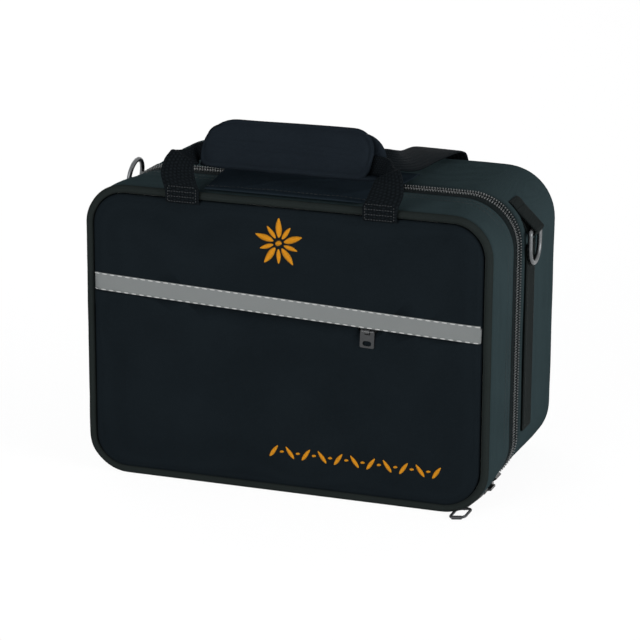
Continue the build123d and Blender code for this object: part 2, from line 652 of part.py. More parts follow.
# Ring tabs: sewn round each top corner, their free ends bent double into an eye
RING_EYE_R = RING_WIRE / 2 + RUN_GAP
RING_EYE_OUT = RING_EYE_R + RING_EYE_WALL
TAB_BASE_R = CORNER_R + PLY_GAP
for side, name in ((-1, "d_ring_tab_left"), (1, "d_ring_tab_right")):
    with BuildPart() as d_ring_tab:
        with BuildSketch(Plane.XZ.offset(-(SIDE_WEB_Y + SIDE_WEB_W / 2))):
            with Locations(corner_point(side, 0, 0)):
                Circle(TAB_BASE_R + SIDE_WEB_T)
                Circle(TAB_BASE_R, mode=Mode.SUBTRACT)
            Polygon(
                corner_point(side, 0, 0),
                corner_point(side, RING_TAB_START, 2 * CORNER_R),
                corner_point(side, RING_TAB_END, 2 * CORNER_R),
                align=None,
                mode=Mode.INTERSECT,
            )
            eye = Vector(side * RING_EYE_X, RING_EYE_Z)
            root = Vector(*corner_point(side, RING_TAB_START, TAB_BASE_R + SIDE_WEB_T + 0.1))
            run = (eye - root).normalized()
            root -= run * 2 * SIDE_WEB_T
            edge = Vector(-run.Y, run.X) * SIDE_WEB_T
            Polygon(root + edge, eye + edge, eye - edge, root - edge, align=None)
            with Locations(eye):
                Circle(RING_EYE_OUT)
                Circle(RING_EYE_R, mode=Mode.SUBTRACT)
        extrude(amount=SIDE_WEB_W)
    save(d_ring_tab, name)


def strap_ring(x, drop):
    """A wire ring shaped like a D whose straight bar lies in the eye at x."""
    middle = Vector(x, SIDE_WEB_Y, RING_EYE_Z)
    with BuildPart() as ring:
        with BuildSketch(Plane(origin=middle, x_dir=(0, 1, 0), z_dir=(-drop.Z, 0, drop.X))) as bow:
            with Locations((0, -RING_WIDTH / 2)):
                Circle(RING_WIDTH / 2)
            Rectangle(RING_WIDTH, RING_WIDTH / 2, align=(Align.CENTER, Align.MAX))
            fillet(bow.vertices().group_by(Axis.Y)[-1], RING_BEND)
        path = bow.sketch.face().outer_wire()
    with BuildPart() as wire:
        with BuildSketch(Plane(origin=middle, z_dir=(0, 1, 0))):
            Circle(RING_WIRE / 2)
        sweep(path=path)
    return wire


# Strap rings: the right one hangs, the left one is turned up against the corner
LEANING = Vector(sin(radians(RING_LEAN)), 0, cos(radians(RING_LEAN)))
save(strap_ring(RING_EYE_X, Vector(0, 0, -1)), "d_ring_right")
save(strap_ring(-RING_EYE_X, LEANING), "d_ring_left")


def low_corner_plane(y):
    """The plane at depth y, its origin at the middle of the lower right corner's round."""
    return Plane(origin=(CORNER_X, y, CORNER_R), x_dir=(1, 0, 0), z_dir=(0, -1, 0))


# Main slider: a plate over both rows of teeth, with the eye that holds the pull
SLIDER_IN = CORNER_R - COIL_INSET + RUN_GAP
SLIDER_FRONT_Y = ZIP_Y - SLIDER_W / 2
PULL_ACROSS = Vector(cos(radians(PULL_TILT)), 0, sin(radians(PULL_TILT)))
PULL_Y = ZIP_Y - PULL_AHEAD
PULL_PIVOT = Vector(CORNER_X + PULL_OUT, PULL_Y, PULL_Z)
PULL_EYE_R = PULL_BARREL_R + RUN_GAP
PULL_EYE_OUT = PULL_EYE_R + PULL_EYE_WALL
PULL_FACE = Plane(origin=PULL_PIVOT, x_dir=PULL_ACROSS, z_dir=PULL_ACROSS.cross(Vector(0, -1, 0)))
PULL_SECTION = Plane(origin=PULL_PIVOT, x_dir=(0, 1, 0), z_dir=PULL_ACROSS)
with BuildPart() as main_zip_slider:
    with BuildSketch(low_corner_plane(ZIP_Y + SLIDER_W / 2)) as slider_arc:
        Circle(SLIDER_IN + SLIDER_T)
        Circle(SLIDER_IN, mode=Mode.SUBTRACT)
        low = radians(SLIDER_ANGLE - SLIDER_HALF_ANGLE)
        high = radians(SLIDER_ANGLE + SLIDER_HALF_ANGLE)
        reach = 2 * CORNER_R
        Polygon(
            (0, 0),
            (reach * sin(low), -reach * cos(low)),
            (reach * sin(high), -reach * cos(high)),
            align=None,
            mode=Mode.INTERSECT,
        )
    extrude(amount=SLIDER_W)
    with BuildSketch(PULL_SECTION) as pull_eye:
        Circle(PULL_EYE_OUT)
        with Locations((0, -PULL_EYE_OUT)):
            Rectangle(SLIDER_FRONT_Y - PULL_Y + PULL_WEB_IN, PULL_EYE_OUT + PULL_WEB_UP, align=Align.MIN)
        Circle(PULL_EYE_R, mode=Mode.SUBTRACT)
    extrude(amount=PULL_EYE_W / 2, both=True)
save(main_zip_slider, "main_zip_slider")

# Its puller: a plate on a barrel, ending in a ferrule for the pull tab
PULL_NOTCH_W = PULL_EYE_W + 2 * RUN_GAP
with BuildPart() as main_zip_puller:
    with BuildSketch(PULL_FACE) as pull_plate:
        with Locations((0, -PULL_BARREL_R)):
            Rectangle(PULL_PLATE_W, PULL_PLATE_L + PULL_BARREL_R, align=(Align.CENTER, Align.MIN))
        Rectangle(PULL_NOTCH_W, 2 * (PULL_EYE_OUT + RUN_GAP), mode=Mode.SUBTRACT)
    extrude(amount=PULL_PLATE_T / 2, both=True)
    with BuildSketch(PULL_SECTION) as barrel:
        Circle(PULL_BARREL_R)
    extrude(amount=PULL_PLATE_W / 2, both=True)
    with BuildSketch(Plane(origin=PULL_PIVOT - Vector(0, PULL_PLATE_L - 1.0, 0), z_dir=(0, -1, 0))) as ferrule:
        Circle(FERRULE_R)
    extrude(amount=FERRULE_L + 1.0)
    with BuildSketch(Plane(origin=PULL_PIVOT - Vector(0, PULL_PLATE_L + FERRULE_L, 0), z_dir=(0, -1, 0))) as bore:
        Circle(STEM_R + STEM_FIT)
    extrude(amount=-FERRULE_L + 1.0, mode=Mode.SUBTRACT)
save(main_zip_puller, "main_zip_puller")

# Pull tab moulded in soft plastic: a thin stem with an open loop at its front end
STEM_BACK = PULL_PLATE_L + 1.2
LOOP_FAR = PULL_Y - FRONT_Y + TAB_LOOP_AHEAD
LOOP_NEAR = LOOP_FAR - TAB_LOOP_L
STEM_END = PULL_FACE.from_local_coords((0, STEM_BACK, 0))
LOOP_BACK = PULL_FACE.from_local_coords((TAB_LOOP_SHIFT, LOOP_NEAR, 0))
with BuildSketch(PULL_FACE) as tab_loop:
    with Locations((TAB_LOOP_SHIFT, LOOP_FAR - TAB_LOOP_L / 2)):
        RectangleRounded(TAB_LOOP_W, TAB_LOOP_L, TAB_LOOP_CORNER)
with BuildPart() as main_zip_pull_tab:
    with BuildLine(PULL_FACE) as stem_path:
        mouth = STEM_BACK + FERRULE_L
        bend = (LOOP_NEAR - mouth) / 3
        Line((0, STEM_BACK), (0, mouth))
        Bezier(
            (0, mouth),
            (0, mouth + bend),
            (TAB_LOOP_SHIFT, LOOP_NEAR - bend),
            (TAB_LOOP_SHIFT, LOOP_NEAR + STEM_R / 2),
        )
    with BuildSketch(Plane(origin=STEM_END, z_dir=(0, -1, 0))) as stem_round:
        Circle(STEM_R)
    sweep()
    with BuildSketch(Plane(origin=LOOP_BACK, z_dir=PULL_ACROSS)) as loop_round:
        Circle(STEM_R)
    sweep(path=tab_loop.sketch.face().outer_wire())
    with BuildSketch(Plane(origin=LOOP_BACK - Vector(0, TAB_LOOP_L, 0), z_dir=PULL_ACROSS)) as front_bar:
        Circle(TAB_BAR_R)
    extrude(amount=TAB_BAR_L / 2, both=True)
save(main_zip_pull_tab, "main_zip_pull_tab")
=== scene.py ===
"""Pocket trumpet case: a zipped, padded clamshell with a webbing handle and two strap rings."""

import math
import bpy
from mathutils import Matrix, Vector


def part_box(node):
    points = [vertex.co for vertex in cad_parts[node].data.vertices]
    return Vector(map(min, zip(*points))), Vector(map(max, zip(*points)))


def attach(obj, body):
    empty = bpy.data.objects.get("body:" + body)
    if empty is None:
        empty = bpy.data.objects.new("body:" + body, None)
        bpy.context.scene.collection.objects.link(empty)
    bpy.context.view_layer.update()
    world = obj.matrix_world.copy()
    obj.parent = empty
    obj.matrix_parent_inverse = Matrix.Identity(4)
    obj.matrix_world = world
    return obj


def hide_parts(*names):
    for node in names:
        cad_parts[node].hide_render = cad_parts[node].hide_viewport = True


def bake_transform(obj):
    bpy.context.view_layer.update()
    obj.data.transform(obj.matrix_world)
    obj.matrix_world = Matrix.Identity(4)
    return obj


bl_info = {
    "name": "Pocket Trumpet Case",
    "version": (1, 0, 0),
    "blender": (4, 5, 0),
    "location": "3D View > Sidebar > Trumpet Case",
    "description": "Builds a zipped soft case with a padded webbing handle, piece by piece",
    "category": "Add Mesh",
}

import bmesh
import bpy
from bpy.props import FloatProperty, FloatVectorProperty, PointerProperty
from mathutils import Matrix, Vector, noise

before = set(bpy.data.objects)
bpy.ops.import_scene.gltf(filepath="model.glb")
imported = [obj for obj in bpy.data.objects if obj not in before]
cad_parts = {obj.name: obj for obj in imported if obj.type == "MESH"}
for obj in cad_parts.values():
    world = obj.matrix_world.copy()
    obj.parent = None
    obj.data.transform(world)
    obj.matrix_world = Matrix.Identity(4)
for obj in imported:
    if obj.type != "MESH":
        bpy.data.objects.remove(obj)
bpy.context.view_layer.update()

MM = 0.001
# Length of cloth, in millimetres, that one unit of the UV map stands for
UV_UNIT = 100.0
FORWARD = Vector((0, -1, 0))
BACK = Vector((0, 1, 0))
UP = Vector((0, 0, 1))


def node_box(name):
    """Lowest and highest corner of a CAD node, in millimetres."""
    low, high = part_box(name)
    return low / MM, high / MM


def node_middle(name):
    """Middle of a CAD node's box, in millimetres."""
    low, high = node_box(name)
    return (low + high) / 2


# Places that the frame gives, in millimetres
COVER_LOW, COVER_HIGH = node_box("rear_cover")
WIDTH = COVER_HIGH.x - COVER_LOW.x
HEIGHT = COVER_HIGH.z
REAR_Y = COVER_HIGH.y
REAR_RIM_Y = COVER_LOW.y
FRONT_Y = node_box("upper_panel")[0].y
LID_RIM_Y = node_box("lid_gusset")[1].y
ZIP_Y = (LID_RIM_Y + REAR_RIM_Y) / 2
HANDLE_X = node_middle("front_handle_tabs").x
# Distance of the zip's ends from the middle of the bottom, with the stops over its last teeth
ZIP_ENDS = node_box("zip_end_stops")[1].x - 2.4
CASE_MIDDLE = Vector((0.0, 0.0, HEIGHT / 2))

# Points round the case: straight and corner by turns, from the middle of the bottom
CASE_SEGMENTS = (14, 16, 18, 16, 28, 16, 18, 16, 14)
CASE_COLUMNS = sum(CASE_SEGMENTS)
# How much wider the front's lower right corner is, over the zip's puller
PULLER_ROOM = 4.0
# Depth behind the front over which its tight corners grow into those of the zip
CORNERS_FROM = 10.0
CORNERS_OVER = 36.0
# Smallest corner radius of an inset border, and the inset past which corners only take the room there is
LEAST_RADIUS = 12.0
DEEP_INSET = 4.0


def length_setting(name, description, length, least):
    """A length in metres that a user would change."""
    return FloatProperty(name=name, description=description, default=length, min=least, unit="LENGTH")


class CaseSizes(bpy.types.PropertyGroup):
    """Sizes that shape the cloth over the case"""

    corner_radius: length_setting("Corner Radius", "Radius of the corners from the zip back", 0.037, 0.01)
    front_corner_radius: length_setting("Front Corner Radius", "Radius of the front's corners", 0.029, 0.01)
    rear_round: length_setting("Rear Rounding", "Radius of the soft edge round the back", 0.016, 0.004)
    bead_radius: length_setting("Bead Radius", "Radius of the bead round the front", 0.00295, 0.001)
    ripple: length_setting("Ripple", "How far the cloth wanders from its even shape", 0.0004, 0.0)
    ripple_length: length_setting("Ripple Length", "Distance over which the cloth wanders", 0.034, 0.005)
    tooth_pitch: length_setting("Tooth Pitch", "Distance between teeth of the main zip", 0.002, 0.001)
    stitch_pitch: length_setting("Stitch Pitch", "Distance between topstitches", 0.0032, 0.001)
    tape_stitch_pitch: length_setting("Tape Stitch Pitch", "Distance between its stitches", 0.0059, 0.002)
    weave_pitch: length_setting("Weave Pitch", "Distance between threads of the cloth", 0.0009, 0.0002)


def colour_setting(name, description, colour):
    """A colour that a user would change."""
    return FloatVectorProperty(
        name=name, description=description, default=(*colour, 1.0), size=4, min=0.0, max=1.0, subtype="COLOR"
    )


class CaseColours(bpy.types.PropertyGroup):
    """Colours of the case's cloths, tapes and metals"""

    shell: colour_setting("Shell Cloth", "Cloth of the rear shell and the gusset", (0.0375, 0.0580, 0.0630))
    # Painted shade: the front is the same cloth as the shell, with its colour set about three times darker.
    front: colour_setting("Front Cloth", "Cloth of the front panels", (0.0124, 0.0177, 0.0218))
    # Painted light: the flap is the same cloth as the front, with its colour set about 1.6 times paler for
    # the light on its top.
    flap: colour_setting("Flap Cloth", "Cloth of the flap over the zip", (0.0185, 0.0280, 0.0370))
    # Painted shade: the bead is the same cloth as the shell, with its colour set darker.
    bead: colour_setting("Bead Cloth", "Cloth of the piping bead", (0.0240, 0.0300, 0.0290))
    webbing: colour_setting("Webbing", "Webbing of the handle", (0.0076, 0.0098, 0.0116))
    side_webbing: colour_setting("Side Webbing", "Webbing down the sides", (0.0128, 0.0162, 0.0162))
    grip: colour_setting("Grip Cloth", "Cloth of the grip", (0.0157, 0.0215, 0.0284))
    binding: colour_setting("Binding", "Woven binding over raw edges", (0.012, 0.013, 0.015))
    zip_tape: colour_setting("Zip Tape", "Woven tape of the zips", (0.0110, 0.0150, 0.0160))
    teeth: colour_setting("Zip Teeth", "Moulded teeth of the zips", (0.022, 0.028, 0.030))
    metal: colour_setting("Black Metal", "Lacquered sliders and pullers", (0.016, 0.018, 0.02))
    steel: colour_setting("Ring Steel", "Plated strap rings", (0.13, 0.135, 0.14))
    reflective: colour_setting("Reflective Tape", "Silver-grey tape across the front", (0.190, 0.204, 0.203))
    pale_thread: colour_setting("Pale Thread", "Thread of the reflective tape", (0.66, 0.67, 0.66))
    dark_thread: colour_setting("Dark Thread", "Thread of the topstitching", (0.014, 0.018, 0.02))
    grey_thread: colour_setting("Grey Thread", "Thread of the handle's box stitching", (0.07, 0.075, 0.08))
    motif_thread: colour_setting("Motif Thread", "Thread of the stitched motifs", (0.92, 0.37, 0.008))
    lining: colour_setting("Lining", "Plush of the inside", (0.024, 0.026, 0.03))
    foam: colour_setting("Foam Board", "Board in the walls", (0.5, 0.5, 0.47))
    floor: colour_setting("Floor", "Floor under the case", (0.8, 0.8, 0.8))


def size_of(name):
    """A size of the settings, in millimetres."""
    return getattr(bpy.context.scene.case_sizes, name) / MM


def colour_of(name):
    """A colour of the settings."""
    return tuple(getattr(bpy.context.scene.case_colours, name))


# Rounded borders


def eased(share):
    """A share held between 0 and 1, with a soft start and end."""
    share = min(max(share, 0.0), 1.0)
    return share * share * (3 - 2 * share)


def hump(distance, width, power=2):
    """A smooth height of 1 where the distance is 0 that falls away over the width."""
    return math.exp(-((distance / width) ** power))


def border_runs(width, height, radii, inset):
    """Corner radii and run lengths of a rounded border that is pulled in by the inset.

    The runs are straight and corner by turns, from the middle of the lower side and turning left.
    """
    room = 0.9 * (min(width, height) / 2 - inset)
    radii = [max(radius - inset, min(radius, LEAST_RADIUS)) for radius in radii]
    if inset > DEEP_INSET:
        radii = [min(radius, room) for radius in radii]
    right_low, right_top, left_top, left_low = radii
    width, height = width - 2 * inset, height - 2 * inset
    straights = (
        width / 2 - right_low,
        height - right_low - right_top,
        width - right_top - left_top,
        height - left_top - left_low,
        width / 2 - left_low,
    )
    runs = []
    for straight, radius in zip(straights, radii + [0.0]):
        runs += [straight, math.pi / 2 * radius]
    return radii, runs[:-1]


def border_walk(border, inset, distance):
    """A point of a rounded border and the outward direction there, at a distance from its lower middle."""
    radii, runs = border_runs(*border, inset)
    x, z, heading = 0.0, inset, 0.0
    for number, run in enumerate(runs):
        step = min(distance, run)
        if number % 2:
            radius = radii[number // 2]
            middle_x, middle_z = x - radius * math.sin(heading), z + radius * math.cos(heading)
            heading += step / radius
            x, z = middle_x + radius * math.sin(heading), middle_z - radius * math.cos(heading)
        else:
            x, z = x + step * math.cos(heading), z + step * math.sin(heading)
        distance -= step
        if distance < 1e-9:
            break
    return (x, z), (math.sin(heading), -math.cos(heading))


def border_station(border, inset, segments, number):
    """The border's numbered point, with the same points at the corners whatever the inset."""
    before = 0.0
    for run, count in zip(border_runs(*border, inset)[1], segments):
        if number <= count:
            return border_walk(border, inset, before + run * number / count)
        number -= count
        before += run
    return border_walk(border, inset, before)


def case_border(y=ZIP_Y):
    """The outline of the case at a depth, with tighter corners at the front."""
    share = eased((y - FRONT_Y - CORNERS_FROM) / CORNERS_OVER)
    wide, tight = size_of("corner_radius"), size_of("front_corner_radius")
    radius = tight + (wide - tight) * share
    return WIDTH, HEIGHT, [radius + PULLER_ROOM * (1 - share), radius, radius, radius]


def case_round(inset):
    """Length once round the case."""
    return sum(border_runs(*case_border(), inset)[1])


def standing(out_z):
    """How far cloth may stand proud: fully on the sides and top, and not at all on the bottom."""
    return eased((out_z + 0.95) / 0.6)


def wander(point, height, length=None):
    """A slow random height, the same on each run."""
    return height * noise.noise(Vector(point) / (length or size_of("ripple_length")))


def pushed(place, outward, y, stand):
    """A border's point at depth y, pushed outwards where the case doesn't rest on the floor."""
    (x, z), (out_x, out_z) = place, outward
    stand *= standing(out_z)
    return Vector((x + out_x * stand, y, z + out_z * stand))


# Height and length of the slow waves of the back. The other pieces' are named in the same way.
BACK_WANDER = (0.7, 48.0)


def wall_point(number, y, inset):
    """A point of the case's wall. An inset below 0 puffs the wall out."""
    place, outward = border_station(case_border(y), max(inset, 0.0), CASE_SEGMENTS, number)
    stand = max(-inset, 0.0) + wander((place[0], y, place[1]), size_of("ripple"))
    if y > REAR_Y - 2.0:
        y += wander((place[0], 0.0, place[1]), *BACK_WANDER)
    return pushed(place, outward, y, stand)


def edge_distance(x, z):
    """How far a point of the front lies inside the case's outline."""
    radius = size_of("front_corner_radius") + (PULLER_ROOM if x > 0 and z < HEIGHT / 2 else 0.0)
    over_x = abs(x) - (WIDTH / 2 - radius)
    over_z = abs(z - HEIGHT / 2) - (HEIGHT / 2 - radius)
    return radius - math.hypot(max(over_x, 0.0), max(over_z, 0.0)) - min(max(over_x, over_z), 0.0)


# The front's crown: inset from the outline, and height in front of the CAD panel's plane
FRONT_CROWN = (
    (5.3, -3.2), (5.7, -1.8), (6.5, -0.8), (8.0, -0.2), (11.0, 0.15), (18.0, 0.4),
    (32.0, 0.6), (52.0, 0.75), (75.0, 0.85), (95.0, 0.9),
)


def front_surface(x, z):
    """Depth of the front panels' face at a point."""
    inset = edge_distance(x, z)
    for (near, low), (far, high) in zip(FRONT_CROWN, FRONT_CROWN[1:]):
        if inset <= far:
            share = max((inset - near) / (far - near), 0.0)
            return FRONT_Y - low - (high - low) * share
    return FRONT_Y - FRONT_CROWN[-1][1]


# Cloth from grids


def lengths_along(points):
    """Running length at each of a line of points."""
    total, lengths = 0.0, [0.0]
    for before, after in zip(points, points[1:]):
        total += (after - before).length
        lengths.append(total)
    return lengths


def cloth_grid(columns, rows, place):
    """A grid of cloth put in place point by point, with a UV map of its own lengths.

    Edges that meet are sewn together.
    """
    bm = bmesh.new()
    bmesh.ops.create_grid(bm, x_segments=columns, y_segments=rows, size=1.0)
    bm.verts.index_update()
    cells = [(round((v.co.x + 1) / 2 * columns), round((v.co.y + 1) / 2 * rows)) for v in bm.verts]
    points = {cell: place(*cell) for cell in cells}
    along = lengths_along([points[i, rows // 2] for i in range(columns + 1)])
    across = lengths_along([points[columns // 2, j] for j in range(rows + 1)])
    layer = bm.loops.layers.uv.new("UVMap")
    for face in bm.faces:
        for loop in face.loops:
            i, j = cells[loop.vert.index]
            loop[layer].uv = (along[i] / UV_UNIT, across[j] / UV_UNIT)
    for vert, cell in zip(bm.verts, cells):
        vert.co = points[cell]
    bmesh.ops.remove_doubles(bm, verts=bm.verts, dist=0.002)
    return bm


def close_ends(bm):
    """Fills the open ends of a tube of cloth and turns its faces outwards."""
    bmesh.ops.holes_fill(bm, edges=[edge for edge in bm.edges if edge.is_boundary], sides=0)
    bmesh.ops.recalc_face_normals(bm, faces=bm.faces)


def close_near(bm, test):
    """Fills the hole whose edge passes the test."""
    edges = [edge for edge in bm.edges if edge.is_boundary and test(edge.verts[0].co)]
    bmesh.ops.holes_fill(bm, edges=edges, sides=0)


def face_away(bm, middle, inward=False):
    """Turns all faces away from the middle, or towards it."""
    bmesh.ops.recalc_face_normals(bm, faces=bm.faces)
    bm.normal_update()
    facing = sum((f.calc_center_median() - middle).dot(f.normal) * f.calc_area() for f in bm.faces)
    if (facing < 0) != inward:
        bmesh.ops.reverse_faces(bm, faces=bm.faces)


def add_piece(bm, name, body, finish, replaces=(), wall=0.0, levels=0):
    """Makes a bmesh in millimetres into a finished object. It has no body where it lies between two."""
    bmesh.ops.scale(bm, vec=(MM, MM, MM), verts=bm.verts)
    mesh = bpy.data.meshes.new(name)
    bm.to_mesh(mesh)
    bm.free()
    mesh.shade_smooth()
    mesh.materials.append(finish_of(finish))
    piece = bpy.data.objects.new(name, mesh)
    bpy.context.scene.collection.objects.link(piece)
    if wall:
        ply = piece.modifiers.new("Ply", "SOLIDIFY")
        ply.thickness = wall * MM
        ply.offset = -1.0
    if levels:
        smooth = piece.modifiers.new("Smooth", "SUBSURF")
        smooth.levels = levels
        smooth.render_levels = levels
    if body:
        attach(piece, body)
    if replaces:
        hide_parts(*replaces)
    return piece


def wrap_wall(profile, cap=None):
    """Cloth wrapped round the case along a profile of depths and insets, closed where the cap's test says."""
    bm = cloth_grid(CASE_COLUMNS, len(profile) - 1, lambda i, j: wall_point(i, *profile[j]))
    if cap:
        close_near(bm, cap)
    return bm


ZIP_COLUMNS = 260


def zip_strip(profile):
    """Cloth along the run of the zip, with a profile of depths and insets."""
    run = case_round(0.0) - 2 * ZIP_ENDS

    def place(i, j):
        y, inset = profile[j]
        share = (ZIP_ENDS + run * i / ZIP_COLUMNS) / case_round(0.0)
        return pushed(*border_walk(case_border(), inset, share * case_round(inset)), y, 0.0)

    return cloth_grid(ZIP_COLUMNS, len(profile) - 1, place)


def smooth_between(before, start, end, after, share):
    """Catmull-Rom blend of four numbers or vectors."""
    return 0.5 * (
        2 * start
        + (end - before) * share
        + (2 * before - 5 * start + 4 * end - after) * share**2
        + (3 * start - before - 3 * end + after) * share**3
    )


def along_stations(stations, steps):
    """Stations filled in smoothly. A station is a middle, the half width across it, and a thickness."""
    filled = []
    for number in range(len(stations) - 1):
        before = stations[max(number - 1, 0)]
        after = stations[min(number + 2, len(stations) - 1)]
        here, there = stations[number], stations[number + 1]
        for step in range(steps):
            filled.append([smooth_between(*four, step / steps) for four in zip(before, here, there, after)])
    filled.append(list(stations[-1]))
    return filled


# Points across a strap, closest together at its selvedges
SELVEDGES = (-1.0, -0.97, -0.86, -0.5, 0.0, 0.5, 0.86, 0.97, 1.0)


def ribbon(stations, steps):
    """A webbing strap that runs smoothly through its stations, with rounded selvedges.

    A station is the strap's middle, the unit vector across it, its width and its thickness.
    """
    halves = [(Vector(middle), across * width / 2, thick) for middle, across, width, thick in stations]
    line = along_stations(halves, steps)
    section = [(share, 1) for share in SELVEDGES] + [(share, -1) for share in reversed(SELVEDGES)]
    section.append(section[0])

    def place(i, j):
        middle, half, thick = line[i]
        run = line[min(i + 1, len(line) - 1)][0] - line[max(i - 1, 0)][0]
        out = half.cross(run).normalized()
        share, face = section[j]
        lift = face * thick / 2 * (1 - 0.45 * abs(share) ** 12)
        return middle + half * share + out * lift

    bm = cloth_grid(len(line) - 1, len(section) - 1, place)
    close_ends(bm)
    return bm


def pillow(border, segments, rings, place):
    """A closed padded form, from rings of inset and thickness that run from front to back."""

    def ring_point(i, j):
        inset, thick = rings[j]
        (x, z), _ = border_station(border, inset, segments, i)
        return place(x, z, thick)

    bm = cloth_grid(sum(segments), len(rings) - 1, ring_point)
    close_ends(bm)
    return bm


def seated(middle, along, out, length, width, height):
    """The place of a small bead that lies along a direction and faces out."""
    along = along.normalized()
    out = (out - along * out.dot(along)).normalized()
    across = out.cross(along)
    turn = Matrix((along * length, across * width, out * height)).transposed().to_4x4()
    return Matrix.Translation(middle) @ turn


def beads(places, around=6, rings=4):
    """Many small rounded beads, such as stitches and teeth."""
    single = bmesh.new()
    bmesh.ops.create_uvsphere(single, u_segments=around, v_segments=rings, radius=0.5)
    bead = bpy.data.meshes.new("bead")
    single.to_mesh(bead)
    single.free()
    shape = [vert.co.copy() for vert in bead.vertices]
    bm = bmesh.new()
    for place in places:
        bead.vertices.foreach_set("co", [number for co in shape for number in place @ co])
        bm.from_mesh(bead)
    bpy.data.meshes.remove(bead)
    return bm


def stitch_line(points, outs, pitch, length, width=0.55, height=0.4):
    """Places of the stitches along a line of points."""
    lengths = lengths_along(points)
    places, distance, number = [], pitch / 2, 0
    while distance < lengths[-1]:
        while lengths[number + 1] < distance:
            number += 1
        share = (distance - lengths[number]) / (lengths[number + 1] - lengths[number])
        middle = points[number].lerp(points[number + 1], share)
        out = outs[number].lerp(outs[number + 1], share)
        places.append(seated(middle, points[number + 1] - points[number], out, length, width, height))
        distance += pitch
    return places


def softened(name, voxel, rounds):
    """A copy of a foam node with soft edges, as a bmesh in millimetres."""
    merged = bmesh.new()
    merged.from_mesh(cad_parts[name].data)
    bmesh.ops.remove_doubles(merged, verts=merged.verts, dist=1e-6)
    mesh = bpy.data.meshes.new(name + "_copy")
    merged.to_mesh(mesh)
    merged.free()
    copy = bpy.data.objects.new(name + "_copy", mesh)
    bpy.context.scene.collection.objects.link(copy)
    remesh = copy.modifiers.new("Remesh", "REMESH")
    remesh.mode = "VOXEL"
    remesh.voxel_size = voxel * MM
    smooth = copy.modifiers.new("Soften", "SMOOTH")
    smooth.factor = 0.5
    smooth.iterations = rounds
    made = bpy.data.meshes.new_from_object(copy.evaluated_get(bpy.context.evaluated_depsgraph_get()))
    bpy.data.objects.remove(copy)
    bm = bmesh.new()
    bm.from_mesh(made)
    bmesh.ops.scale(bm, vec=(1 / MM,) * 3, verts=bm.verts)
    return bm


# Finishes


def node(tree, kind, inputs=None, **settings):
    """Adds a node, sets it, and fills its sockets with values or links."""
    made = tree.nodes.new(kind)
    for key, value in settings.items():
        setattr(made, key, value)
    for socket, value in (inputs or {}).items():
        if isinstance(value, bpy.types.NodeSocket):
            tree.links.new(value, made.inputs[socket])
        else:
            made.inputs[socket].default_value = value
    return made


def maths(tree, operation, first, second=0.0, third=0.0):
    """A number worked out from one to three others."""
    return node(tree, "ShaderNodeMath", {0: first, 1: second, 2: third}, operation=operation).outputs[0]


# How much paler the sheen of a cloth is than its colour
PALE = 10


def start_finish(name, colour, roughness, **fixed):
    """A new material with the sockets that are the same all over."""
    material = bpy.data.materials.new(name)
    material.use_nodes = True
    material.diffuse_color = colour
    tree = material.node_tree
    shader = tree.nodes["Principled BSDF"]
    shader.inputs["Base Color"].default_value = colour
    shader.inputs["Roughness"].default_value = roughness
    for socket, value in fixed.items():
        shader.inputs[socket.replace("_", " ")].default_value = value
    return material, tree, shader


def object_place(tree, scale=1.0):
    """The place on the object, scaled."""
    place = node(tree, "ShaderNodeTexCoord").outputs["Object"]
    return node(tree, "ShaderNodeVectorMath", {0: place, 3: scale}, operation="SCALE").outputs[0]


def shaded(colour, factor):
    """A colour made darker or paler by a factor."""
    return tuple(min(channel * factor, 1.0) for channel in colour[:3]) + (1.0,)


def shade_between(tree, shader, colour, low, high, share):
    """Colours the surface between two shades of its colour."""
    inputs = {0: share, 6: shaded(colour, low), 7: shaded(colour, high)}
    mixed = node(tree, "ShaderNodeMix", inputs, data_type="RGBA")
    tree.links.new(mixed.outputs[2], shader.inputs["Base Color"])


def raise_bumps(tree, shader, height, distance):
    """Raises the surface by a height, at most by a distance in metres."""
    bump = node(tree, "ShaderNodeBump", {"Height": height, "Distance": distance, "Strength": 1.0})
    tree.links.new(bump.outputs["Normal"], shader.inputs["Normal"])


def vary_roughness(tree, shader, share, low, high):
    """Lets the roughness wander."""
    spread = node(tree, "ShaderNodeMapRange", {0: share, 3: low, 4: high})
    tree.links.new(spread.outputs[0], shader.inputs["Roughness"])


def speckle(tree, scale, detail=2.0, roughness=0.5):
    """A random share from 0 to 1 over the object."""
    inputs = {"Vector": object_place(tree), "Scale": scale, "Detail": detail, "Roughness": roughness}
    return node(tree, "ShaderNodeTexNoise", inputs).outputs["Fac"]


def cell_distance(tree, scale):
    """Distance from the middles of small random cells over the object."""
    inputs = {"Vector": object_place(tree), "Scale": scale}
    return node(tree, "ShaderNodeTexVoronoi", inputs).outputs["Distance"]


def weigh(tree, first, share, second):
    """The share of the first number added to the second."""
    return maths(tree, "MULTIPLY_ADD", first, share, second)


